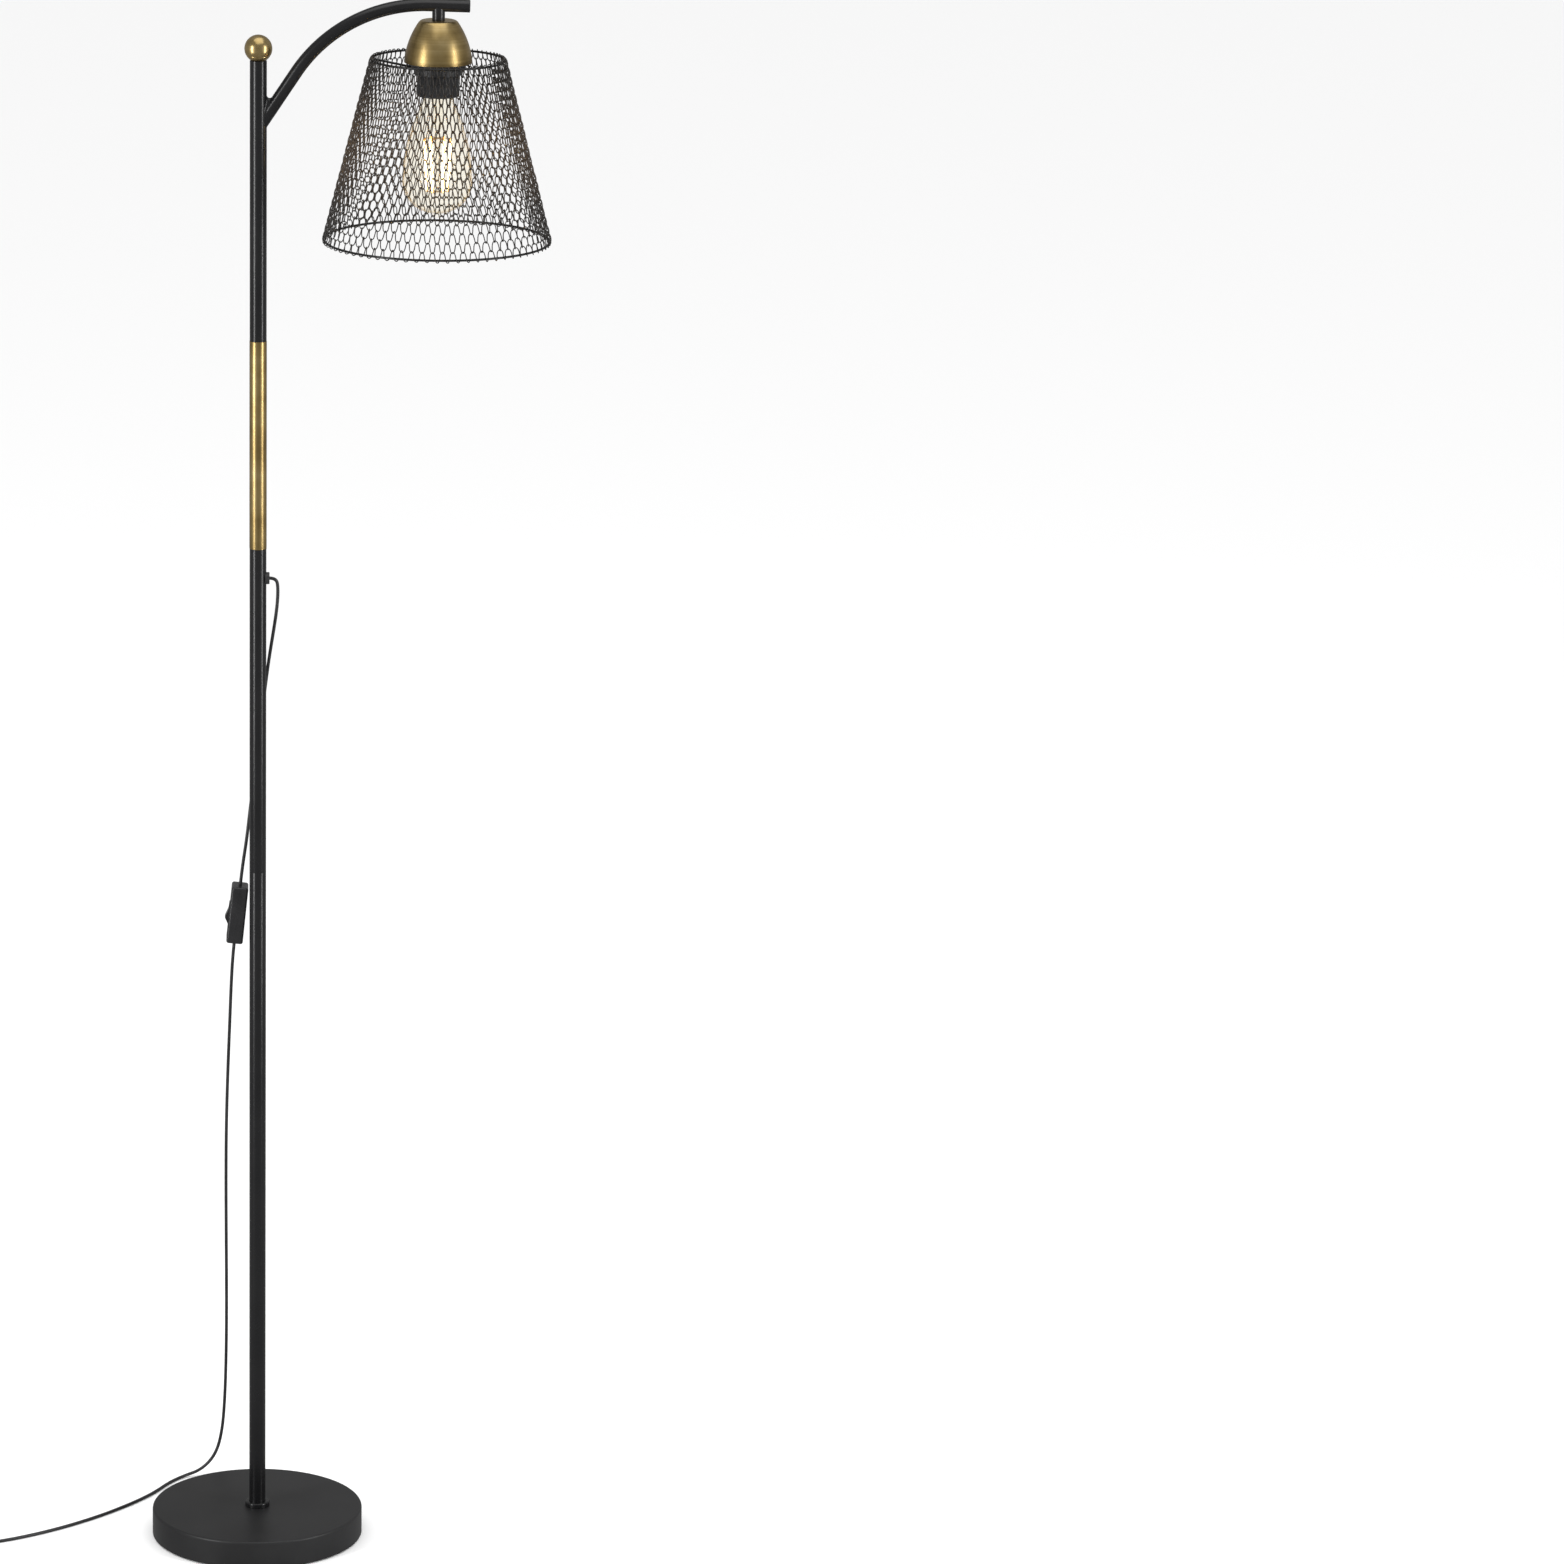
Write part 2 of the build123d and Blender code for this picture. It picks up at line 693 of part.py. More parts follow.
with BuildPart() as shade_bottom_ring:
    with BuildSketch(head_profile):
        with Locations((shade_low_d / 2, shade_low_z)):
            RegularPolygon(rim_wire_d / 2, wire_sides)
    revolve(axis=head_line)
shade_bottom_ring.part.label = "shade_bottom_ring"
export_step(shade_bottom_ring.part, "parts/shade_bottom_ring.step")

# spokes rise from under the hub's edge to the top rim and are coped to its wire
spoke_low_z = hub_low_z - 0.4
spoke_in_r = hub_d / 2 - 1.5
spoke_run = shade_top_d / 2 - spoke_in_r
spoke_lift = shade_top_z + 0.4 - spoke_low_z

with BuildPart() as shade_spider:
    for i in range(spokes):
        turn = radians(i * 360 / spokes + 60)
        out = Vector(cos(turn), sin(turn), 0)
        start = Vector(head_reach, 0, spoke_low_z) + out * spoke_in_r
        with BuildSketch(Plane(start, z_dir=out * spoke_run + Vector(0, 0, spoke_lift))):
            Circle(spoke_d / 2)
        extrude(amount=sqrt(spoke_run ** 2 + spoke_lift ** 2) - 0.8)
    with BuildSketch(head_level(hub_low_z)):
        Circle(hub_d / 2)
    extrude(amount=hub_t)
    with BuildSketch(head_level(hub_low_z - spoke_d)):
        Circle(hub_bore_r)
    extrude(amount=3 * spoke_d, mode=Mode.SUBTRACT)
    with BuildSketch(head_profile):
        with Locations((shade_top_d / 2, shade_top_z)):
            RegularPolygon(rim_wire_d / 2 + slip, wire_sides)
    revolve(axis=head_line, mode=Mode.SUBTRACT)
shade_spider.part.label = "shade_spider"
export_step(shade_spider.part, "parts/shade_spider.step")

# the knit: a thin many-sided cone between the rims, with one diamond mesh per pair of strands
knit_low_z = shade_low_z + rim_wire_d / 2 + slip
knit_top_z = shade_top_z - rim_wire_d / 2 - slip
knit_sides = 2 * knit_columns
knit_row_h = (knit_top_z - knit_low_z) / knit_rows
knit_band = 0.8 * knit_wire_d


def shade_radius(z):
    """Radius of the shade's wall at height z."""
    return (shade_low_d + (shade_top_d - shade_low_d) * (z - shade_low_z) / shade_h) / 2


def mesh_points(z):
    """Corners of one mesh centred at height z, cut off at the knit's first and last row."""
    half_w = pi * shade_radius(z) / knit_columns
    side = sqrt(half_w ** 2 + knit_row_h ** 2)
    half_w -= knit_strand / 2 * side / knit_row_h
    half_h = knit_row_h - knit_strand / 2 * side / (pi * shade_radius(z) / knit_columns)
    low = max(-half_h, knit_low_z + knit_band - z)
    top = min(half_h, knit_top_z - knit_band - z)
    if low > -half_h:
        reach = half_w * (1 - low / half_h)
        return [(-reach, low), (reach, low), (0, half_h)]
    if top < half_h:
        reach = half_w * (1 - top / half_h)
        return [(-reach, top), (0, -half_h), (reach, top)]
    return [(-half_w, 0), (0, -half_h), (half_w, 0), (0, half_h)]


with BuildPart() as shade_knit:
    for wall, way in ((knit_wire_d / 2, Mode.ADD), (-knit_wire_d / 2, Mode.SUBTRACT)):
        with BuildSketch(head_level(knit_low_z)):
            RegularPolygon(shade_radius(knit_low_z) + wall, knit_sides)
        with BuildSketch(head_level(knit_top_z)):
            RegularPolygon(shade_radius(knit_top_z) + wall, knit_sides)
        loft(ruled=True, mode=way)
    for row in range(knit_rows + 1):
        row_z = knit_low_z + row * knit_row_h
        row_r = shade_radius(row_z)
        meshes = []
        for column in range(knit_columns):
            turn = 2 * pi * (column + row % 2 / 2) / knit_columns
            out = Vector(cos(turn), sin(turn), 0)
            centre = Vector(head_reach, 0, row_z) + out * row_r
            meshes.append(Plane(centre, x_dir=(-sin(turn), cos(turn), 0), z_dir=out))
        with BuildSketch(*meshes):
            Polygon(*mesh_points(row_z), align=None)
    extrude(amount=0.4 * knit_row_h, both=True, mode=Mode.SUBTRACT)
shade_knit.part.label = "shade_knit"
export_step(shade_knit.part, "parts/shade_knit.step")

# ---------------------------------------------------------------- bulb

# the glass: a round end with a small pip, and a side that swells and narrows in two arcs
swell = (bulb_d - bulb_neck_d) / 2
swell_h = bulb_neck_z - bulb_wide_z
arcs_r = (swell_h ** 2 + swell ** 2) / (2 * swell)
swell_turn = degrees(asin(swell_h / arcs_r))
belly_r = arcs_r - bulb_waist_r


def bulb_side(inset):
    """Half outline of the glass in straight bands, from the round end up to the neck."""
    swell = radians(swell_turn)
    steps = [i / bulb_bands for i in range(bulb_bands)]
    dome = [
        (
            (bulb_d / 2 - inset) * sin(pi / 2 * step),
            bulb_wide_z - (bulb_dome_h - inset) * cos(pi / 2 * step),
        )
        for step in steps
    ]
    belly = [
        (
            bulb_d / 2 - belly_r + (belly_r - inset) * cos(swell * step),
            bulb_wide_z + (belly_r - inset) * sin(swell * step),
        )
        for step in steps
    ]
    waist = [
        (
            bulb_neck_d / 2 + bulb_waist_r - (bulb_waist_r + inset) * cos(swell * turn),
            bulb_neck_z - (bulb_waist_r + inset) * sin(swell * turn),
        )
        for turn in (1, 0.55, 0.15, 0)
    ]
    return dome + belly + waist


with BuildPart() as bulb_glass:
    with BuildSketch(head_profile):
        Polygon(*bulb_side(0.0), (0, bulb_neck_z), align=None)
    revolve(axis=head_line)
    # the pip where the glass was sealed off
    with BuildSketch(head_level(bulb_low_z - bulb_pip_h)):
        Circle(bulb_pip_d / 4)
    with BuildSketch(head_level(bulb_low_z + 1.0)):
        Circle(bulb_pip_d / 2)
    loft()
    with BuildSketch(head_profile):
        Polygon(*bulb_side(bulb_t), (0, bulb_neck_z), align=None)
    revolve(axis=head_line, mode=Mode.SUBTRACT)
bulb_glass.part.label = "bulb_glass"
export_step(bulb_glass.part, "parts/bulb_glass.step")

cap_in_r = cap_d / 2 - 2 * cap_t
cap_hole_r = cap_shoulder_d / 2 - 2 * cap_t

with BuildPart() as bulb_cap:
    with BuildSketch(head_profile):
        Polygon(
            (cap_d / 2, cap_low_z),
            (cap_d / 2, cap_top_z - cap_shoulder_h),
            (cap_shoulder_d / 2, cap_top_z),
            (cap_hole_r, cap_top_z),
            (cap_in_r, cap_top_z - cap_shoulder_h),
            (cap_in_r, bulb_neck_z),
            (cap_d / 2 - cap_t, bulb_neck_z),
            (cap_d / 2 - cap_t, cap_low_z),
            align=None,
        )
    revolve(axis=head_line)
bulb_cap.part.label = "bulb_cap"
export_step(bulb_cap.part, "parts/bulb_cap.step")

insulator_low_z = cap_top_z - 0.6

with BuildPart() as bulb_insulator:
    with BuildSketch(head_profile):
        Polygon(
            (0, insulator_low_z),
            (cap_hole_r - slip, insulator_low_z),
            (cap_hole_r - slip, cap_top_z),
            (button_d / 2 + 0.8, cap_top_z + insulator_h),
            (0, cap_top_z + insulator_h),
            align=None,
        )
    revolve(axis=head_line)
bulb_insulator.part.label = "bulb_insulator"
export_step(bulb_insulator.part, "parts/bulb_insulator.step")

with BuildPart() as bulb_button:
    with BuildSketch(head_level(cap_top_z + insulator_h + slip)):
        Circle(button_d / 2)
    extrude(amount=button_h - slip)
    fillet(bulb_button.edges().group_by(Axis.Z)[-1], 0.5 * button_h)
bulb_button.part.label = "bulb_button"
export_step(bulb_button.part, "parts/bulb_button.step")

filament_low_z = bulb_low_z + filament_low
filament_top_z = filament_low_z + filament_len
press_low_z = filament_top_z + 8.0
support_t = 0.6

with BuildPart() as bulb_stalk:
    with BuildSketch(head_profile):
        Polygon(
            (0, filament_low_z - 2.0),
            (stalk_d / 2, filament_low_z - 2.0),
            (stalk_d / 2, press_low_z),
            (press_d / 2, press_low_z + 4.0),
            (press_d / 2, bulb_neck_z - 8.0),
            (bulb_neck_d / 2 - bulb_t - slip, bulb_neck_z - 1.2),
            (bulb_neck_d / 2 - bulb_t - slip, bulb_neck_z),
            (0, bulb_neck_z),
            align=None,
        )
    revolve(axis=head_line)
bulb_stalk.part.label = "bulb_stalk"
export_step(bulb_stalk.part, "parts/bulb_stalk.step")

# two wire stars on the stalk hold the filaments' ends
with BuildPart() as bulb_supports:
    for low_z, reach in (
        (filament_low_z - support_t, filament_low_r),
        (filament_top_z, filament_top_r),
    ):
        with BuildSketch(head_level(low_z)):
            Circle(stalk_d / 2 + 1.2)
            with PolarLocations((reach + filament_d / 2) / 2, filaments):
                Rectangle(reach + filament_d / 2, filament_d / 2)
            Circle(stalk_d / 2 + slip, mode=Mode.SUBTRACT)
        extrude(amount=support_t)
bulb_supports.part.label = "bulb_supports"
export_step(bulb_supports.part, "parts/bulb_supports.step")

with BuildPart() as bulb_filaments:
    for i in range(filaments):
        turn = radians(i * 360 / filaments)
        out = Vector(cos(turn), sin(turn), 0)
        foot = Vector(head_reach, 0, filament_low_z) + out * filament_low_r
        rise = out * (filament_top_r - filament_low_r) + Vector(0, 0, filament_len)
        with BuildSketch(Plane(foot, z_dir=(0, 0, 1))):
            Circle(filament_d / 2)
        extrude(amount=rise.length, dir=rise.normalized())
bulb_filaments.part.label = "bulb_filaments"
export_step(bulb_filaments.part, "parts/bulb_filaments.step")

# ---------------------------------------------------------------- cord outlet and inner lead

grommet_end_x = pole_d / 2 + grommet_out
lip_end_x = sqrt((pole_bore / 2) ** 2 - (grommet_lip_d / 2) ** 2) - slip


def across(x):
    """Plane square to the outlet's axis at distance x from the pole's axis."""
    return Plane((x, 0, outlet_z), x_dir=(0, 1, 0), z_dir=(1, 0, 0))


with BuildPart() as cord_grommet:
    with BuildSketch(across(pole_bore / 2)):
        Circle(grommet_d / 2)
    extrude(amount=grommet_end_x - pole_bore / 2)
    fillet(cord_grommet.edges().group_by(Axis.X)[-1], 0.8)
    with BuildSketch(Plane.XY.offset(outlet_z - grommet_d)):
        Circle(pole_d / 2 + slip)
    extrude(amount=2 * grommet_d, mode=Mode.SUBTRACT)
    with BuildSketch(across(lip_end_x - 1.6)):
        Circle(outlet_d / 2)
    extrude(amount=grommet_end_x - lip_end_x)
    with BuildSketch(across(lip_end_x)):
        Circle(grommet_lip_d / 2)
    extrude(amount=-1.6)
    with BuildSketch(across(0)):
        Circle(cord_d / 2 + slip)
    extrude(amount=pole_d, mode=Mode.SUBTRACT)
cord_grommet.part.label = "cord_grommet"
export_step(cord_grommet.part, "parts/cord_grommet.step")

with BuildPart() as inner_lead:
    with BuildLine() as lead_line:
        FilletPolyline(
            (grommet_end_x, 0, outlet_z),
            (0, 0, outlet_z),
            (0, 0, arm_root_z),
            (arm_corner_x, 0, arm_corner_z),
            (head_reach, 0, arm_head_z),
            (head_reach, 0, core_top_z),
            radius=[lead_turn_r, lead_fork_r, arm_bend_r, lead_head_r],
        )
    with BuildSketch(Plane(lead_line.line @ 0, z_dir=lead_line.line % 0)):
        Circle(cord_d / 2)
    sweep(path=lead_line.line)
inner_lead.part.label = "inner_lead"
export_step(inner_lead.part, "parts/inner_lead.step")

# ---------------------------------------------------------------- inline switch

switch_tilt = radians(5.86)
switch_along = Vector(sin(switch_tilt), 0, cos(switch_tilt))
switch_out = Vector(-cos(switch_tilt), 0, sin(switch_tilt))
switch_mid = Vector(-19.7, 16.0, 631.75)


def switch_level(out):
    """Plane facing the rocker's side at a distance from the seam, x along Y and y upwards."""
    return Plane(switch_mid + switch_out * out, x_dir=(0, -1, 0), z_dir=switch_out)


# looking along the cord, for what is turned or drilled in that direction
switch_across = Plane(switch_mid, x_dir=switch_out, z_dir=switch_along)
# looking along the rocker's pin: x upwards along the cord, y out on the rocker's side
switch_side = Plane(switch_mid, x_dir=switch_along, z_dir=(0, -1, 0))
front_wall = switch_t / 2 - switch_wall
screw_spots = ((0, switch_screw_spread / 2), (0, -switch_screw_spread / 2))
boss_in = rocker_w / 2 + 0.4
boss_out = pin_len / 2 + 0.7

with BuildPart() as switch_front:
    with BuildSketch(switch_level(0)):
        RectangleRounded(switch_w, switch_len, switch_edge_r)
    extrude(amount=switch_t / 2)
    fillet(switch_front.faces().sort_by(Axis(switch_mid, switch_out))[-1].edges(), switch_edge_r * 0.9)
    with BuildSketch(switch_level(0)):
        Rectangle(switch_w - 2 * switch_wall, switch_len - 2 * switch_wall)
    extrude(amount=front_wall, mode=Mode.SUBTRACT)
    with BuildSketch(switch_level(0)):
        with Locations(*screw_spots):
            Circle(switch_screw_d / 2 + switch_wall)
    extrude(amount=front_wall)
    # bearing blocks for the rocker's pin
    with BuildSketch(switch_level(rocker_pivot - pin_d)):
        with Locations(((boss_in + boss_out) / 2, 0), (-(boss_in + boss_out) / 2, 0)):
            Rectangle(boss_out - boss_in, 3 * pin_d)
    extrude(amount=front_wall - rocker_pivot + pin_d)
    with BuildSketch(switch_side):
        with Locations((0, rocker_pivot)):
            Circle(pin_d / 2 + slip)
    extrude(amount=pin_len / 2 + slip, both=True, mode=Mode.SUBTRACT)
    with BuildSketch(switch_level(front_wall - 1.0)):
        Rectangle(rocker_w + 0.4, rocker_len + 1.6)
    extrude(amount=switch_t, mode=Mode.SUBTRACT)
    with BuildSketch(switch_level(0)):
        with Locations(*screw_spots):
            Circle(switch_screw_d / 2 + slip)
    extrude(amount=front_wall - 1.0, mode=Mode.SUBTRACT)
    with BuildSketch(switch_across):
        Circle(cord_d / 2 + 2 * slip)
    extrude(amount=switch_len, both=True, mode=Mode.SUBTRACT)
switch_front.part.label = "switch_front"
export_step(switch_front.part, "parts/switch_front.step")

contact_in = 4.0
contact_len = 12.0
contact_t = 0.8
contact_w = 6.0
contact_out = -0.2
contact_spots = (
    (0, contact_in + contact_len / 2),
    (0, -contact_in - contact_len / 2),
)

with BuildPart() as switch_back:
    with BuildSketch(switch_level(-slip)):
        RectangleRounded(switch_w, switch_len, switch_edge_r)
    extrude(amount=slip - switch_t / 2)
    fillet(switch_back.faces().sort_by(Axis(switch_mid, switch_out))[0].edges(), switch_edge_r * 0.9)
    with BuildSketch(switch_level(0)):
        Rectangle(switch_w - 2 * switch_wall, switch_len - 2 * switch_wall)
    extrude(amount=-front_wall, mode=Mode.SUBTRACT)
    with BuildSketch(switch_level(-slip)):
        with Locations(*screw_spots):
            Circle(switch_screw_head_d / 2 + 0.8)
    extrude(amount=slip - front_wall)
    # posts under the contact strips
    with BuildSketch(switch_level(contact_out - contact_t - slip)):
        with Locations(*contact_spots):
            Rectangle(contact_w - 1.0, contact_in)
    extrude(amount=-front_wall - contact_out + contact_t + slip)
    with BuildSketch(switch_level(0)):
        with Locations(*screw_spots):
            Circle(switch_screw_d / 2 + slip)
    extrude(amount=-switch_t, mode=Mode.SUBTRACT)
    with BuildSketch(switch_level(-switch_t / 2)):
        with Locations(*screw_spots):
            Circle(switch_screw_head_d / 2 + slip)
    extrude(amount=switch_wall, mode=Mode.SUBTRACT)
    with BuildSketch(switch_across):
        Circle(cord_d / 2 + 2 * slip)
    extrude(amount=switch_len, both=True, mode=Mode.SUBTRACT)
switch_back.part.label = "switch_back"
export_step(switch_back.part, "parts/switch_back.step")

with BuildPart() as switch_rocker:
    with BuildSketch(switch_side):
        Polygon(
            (10.4, 8.6),
            (3.5, 9.0),
            (-4.6, 11.6),
            (-8.0, 9.6),
            (-10.4, 8.4),
            (-9.4, 4.2),
            (-3.0, 3.2),
            (3.0, 3.2),
            (9.4, 4.2),
            align=None,
        )
        with Locations((0, rocker_pivot)):
            Circle(pin_d / 2 + slip, mode=Mode.SUBTRACT)
    extrude(amount=rocker_w / 2, both=True)
switch_rocker.part.label = "switch_rocker"
export_step(switch_rocker.part, "parts/switch_rocker.step")

with BuildPart() as rocker_pin:
    with BuildSketch(switch_side):
        with Locations((0, rocker_pivot)):
            Circle(pin_d / 2)
    extrude(amount=pin_len / 2, both=True)
rocker_pin.part.label = "rocker_pin"
export_step(rocker_pin.part, "parts/rocker_pin.step")

with BuildPart() as switch_screws:
    with BuildSketch(switch_level(-switch_t / 2 + 0.3)):
        with Locations(*screw_spots):
            Circle(switch_screw_head_d / 2)
    extrude(amount=switch_wall - 0.3)
    with BuildSketch(switch_level(-switch_t / 2 + switch_wall)):
        with Locations(*screw_spots):
            Circle(switch_screw_d / 2)
    extrude(amount=switch_t / 2 - switch_wall + front_wall - 2.0)
switch_screws.part.label = "switch_screws"
export_step(switch_screws.part, "parts/switch_screws.step")

with BuildPart() as switch_contacts:
    with BuildSketch(switch_level(contact_out)):
        with Locations(*contact_spots):
            Rectangle(contact_w, contact_len)
    extrude(amount=-contact_t)
switch_contacts.part.label = "switch_contacts"
export_step(switch_contacts.part, "parts/switch_contacts.step")

# ---------------------------------------------------------------- cord

switch_in_top = switch_mid + switch_along * (switch_len / 2 - cord_in_switch)
switch_in_low = switch_mid - switch_along * (switch_len / 2 - cord_in_switch)
switch_top = switch_mid + switch_along * (switch_len / 2 + 16.0)
switch_low = switch_mid - switch_along * (switch_len / 2 + 14.0)
floor_z = cord_d / 2 + floor_gap


# corner radius of the many-sided section that has the round cord's area
cord_side_r = cord_d / 2 * sqrt(2 * pi / wire_sides / sin(2 * pi / wire_sides))


def corner_radii(points):
    """Bend radius at each inner point: most of what the shorter of its two runs allows."""
    radii = []
    for a, b, c in zip(points, points[1:], points[2:]):
        before = Vector(*b) - Vector(*a)
        after = Vector(*c) - Vector(*b)
        turn = radians(before.get_angle(after))
        radii.append(0.45 * min(before.length, after.length) / tan(turn / 2))
    return radii


upper_points = [
    (grommet_end_x, 0, outlet_z),
    (17.6, 0, 968),
    (19.2, 1, 957.5),
    (18.2, 2.6, 939),
    (15.2, 5.6, 917),
    (11, 9.6, 890),
    (6.8, 13.2, 857),
    (2.6, 15.6, 819),
    (-2.2, 16.6, 780),
    (-6.8, 16.4, 741),
    (-10.6, 16.1, 706),
    tuple(switch_top),
    tuple(switch_in_top),
]

lower_points = [
    tuple(switch_in_low),
    tuple(switch_low),
    (-25.6, 19, 561),
    (-27.2, 24.5, 516),
    (-29.2, 32.5, 462),
    (-30.6, 42.5, 407),
    (-31, 55, 352),
    (-30.9, 69.5, 297),
    (-30.7, 85.5, 242),
    (-30.7, 102.5, 188),
    (-31.3, 120, 137),
    (-32.6, 136.5, 91),
    (-35.2, 149, 52),
    (-41.5, 155.6, 24),
    (-56, 157.5, 6.5),
    (-74, 152.5, floor_z),
    (-88.5, 134, floor_z),
    (-103, 105, floor_z),
    (-126, 74, floor_z),
    (-158, 39, floor_z),
    (-199, 4.5, floor_z),
    (-243, -22.5, floor_z),
    (-282, -36, floor_z),
    (-302, -41.5, floor_z),
]

with BuildPart() as cord_upper:
    with BuildLine() as upper_line:
        FilletPolyline(*upper_points, radius=corner_radii(upper_points))
    with BuildSketch(Plane(upper_line.line @ 0, z_dir=upper_line.line % 0)):
        RegularPolygon(cord_side_r, wire_sides)
    sweep(path=upper_line.line)
cord_upper.part.label = "cord_upper"
export_step(cord_upper.part, "parts/cord_upper.step")

with BuildPart() as cord_lower:
    with BuildLine() as lower_line:
        FilletPolyline(*lower_points, radius=corner_radii(lower_points))
    with BuildSketch(Plane(lower_line.line @ 0, z_dir=lower_line.line % 0)):
        RegularPolygon(cord_side_r, wire_sides)
    sweep(path=lower_line.line)
cord_lower.part.label = "cord_lower"
export_step(cord_lower.part, "parts/cord_lower.step")

print("upper radii", [round(r, 1) for r in corner_radii(upper_points)])
print("lower radii", [round(r, 1) for r in corner_radii(lower_points)])
for name, solid, line in (("upper", cord_upper, upper_line), ("lower", cord_lower, lower_line)):
    length = sum(edge.length for edge in line.edges())
    print(name, "length", round(length, 1), "filled", solid.part.volume / length / pi / cord_d ** 2 * 4)

# the put-away coil: in on the floor, up on the inside, and out again on top
coil_start = Vector(*lower_points[-1])
coil_heading = (coil_start - Vector(*lower_points[-2])).normalized()
coil_out_r = coil_mean_r + coil_pitch * coil_low_turns / 2
coil_in_r = coil_out_r - coil_pitch * coil_low_turns
coil_start_angle = atan2(coil_heading.Y, coil_heading.X) - pi / 2
coil_lead = 2 * cord_d
coil_mid = coil_start + coil_heading * coil_lead
coil_mid -= Vector(cos(coil_start_angle), sin(coil_start_angle), 0) * coil_out_r
coil_turns = coil_low_turns + coil_climb_turns + coil_top_turns
quarter_turns = round(4 * coil_turns)


def coil_place(turns):
    """Point of the coil's middle line after a number of turns."""
    climbed = min(max(turns - coil_low_turns, 0), coil_climb_turns) / coil_climb_turns
    inward = min(turns, coil_low_turns)
    outward = max(turns - coil_low_turns - coil_climb_turns, 0)
    radius = coil_out_r + coil_pitch * (outward - inward)
    angle = coil_start_angle + 2 * pi * turns
    rise = coil_pitch * (1 - cos(pi * climbed)) / 2
    return coil_mid + Vector(radius * cos(angle), radius * sin(angle), rise)


def coil_way(turns):
    """Direction of the coil's middle line after a number of turns."""
    angle = coil_start_angle + 2 * pi * turns
    if turns <= 0 or turns >= coil_turns:
        return Vector(-sin(angle), cos(angle), 0)
    step = coil_place(turns + 0.002) - coil_place(turns - 0.002)
    return step.normalized()


with BuildPart() as cord_coil:
    with BuildLine() as coil_line:
        Line(coil_start, coil_start + coil_heading * coil_lead)
        for quarter in range(quarter_turns):
            start, end = coil_place(quarter / 4), coil_place(quarter / 4 + 0.25)
            way_in, way_out = coil_way(quarter / 4), coil_way(quarter / 4 + 0.25)
            span = end - start
            a = 2 * (way_in.dot(way_out) - 1)
            b = -2 * span.dot(way_in + way_out)
            arm = (-b - sqrt(b * b - 4 * a * span.dot(span))) / (2 * a)
            knee_in = start + way_in * arm
            knee_out = end - way_out * arm
            TangentArc(start, (knee_in + knee_out) * 0.5, tangent=way_in)
            TangentArc((knee_in + knee_out) * 0.5, end, tangent=knee_out - knee_in)
        tail_start = coil_place(coil_turns)
        tail_end = tail_start + coil_heading * coil_tail
        Line(tail_start, tail_end)
    with BuildSketch(Plane(coil_start, z_dir=coil_heading)):
        RegularPolygon(cord_side_r, wire_sides)
    sweep(path=coil_line.line)
cord_coil.part.label = "cord_coil"
export_step(cord_coil.part, "parts/cord_coil.step")
coil_length = sum(edge.length for edge in coil_line.edges())
coil_filled = cord_coil.part.volume / coil_length / pi / cord_d ** 2 * 4
print("coil length", round(coil_length, 1), "filled", coil_filled)

# ---------------------------------------------------------------- plug


def plug_level(along):
    """Plane square to the plug's axis at a distance from the cord's end, y upwards."""
    sideways = coil_heading.cross(Vector(0, 0, 1))
    return Plane(tail_end + coil_heading * along, x_dir=sideways, z_dir=coil_heading)


plug_t = 2 * tail_end.Z - 0.1

with BuildPart() as plug_body:
    with BuildSketch(plug_level(0)):
        Circle(cord_d / 2 + 0.6)
    with BuildSketch(plug_level(plug_relief_len)):
        Circle(plug_relief_d / 2)
    loft()
    with BuildSketch(plug_level(plug_relief_len)):
        Rectangle(plug_w * 0.62, plug_t * 0.86)
    with BuildSketch(plug_level(plug_relief_len + plug_len * 0.4)):
        Rectangle(plug_w, plug_t)
    loft()
    with BuildSketch(plug_level(plug_relief_len + plug_len * 0.4)):
        Rectangle(plug_w, plug_t)
    extrude(amount=plug_len * 0.6)
plug_body.part.label = "plug_body"
export_step(plug_body.part, "parts/plug_body.step")

with BuildPart() as plug_blades:
    with BuildSketch(plug_level(plug_relief_len + plug_len)):
        with Locations((blade_gap / 2, 0), (-blade_gap / 2, 0)):
            Rectangle(blade_t, blade_w)
    extrude(amount=blade_len)
    chamfer(plug_blades.faces().sort_by(Axis(tail_end, coil_heading))[-2:].edges(), 0.35)
plug_blades.part.label = "plug_blades"
export_step(plug_blades.part, "parts/plug_blades.step")
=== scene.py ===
"""Finishes and fine shapes of a floor lamp with a knitted wire cage shade.

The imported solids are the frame: base, pole, side arm, brass cup, lamp holder, bulb and cord.
This script dresses them. Round pieces are turned from profiles, the shade is made of rows of
wire loops that hook into one another, the cords are smooth curves, and every finish is made of
shader nodes. Everything is in metres, +Z up, with the origin on the floor at the pole's axis.
"""

from __future__ import annotations

import logging
import math
from dataclasses import dataclass
from enum import Enum
from functools import cached_property
from typing import Callable, Iterable, Sequence

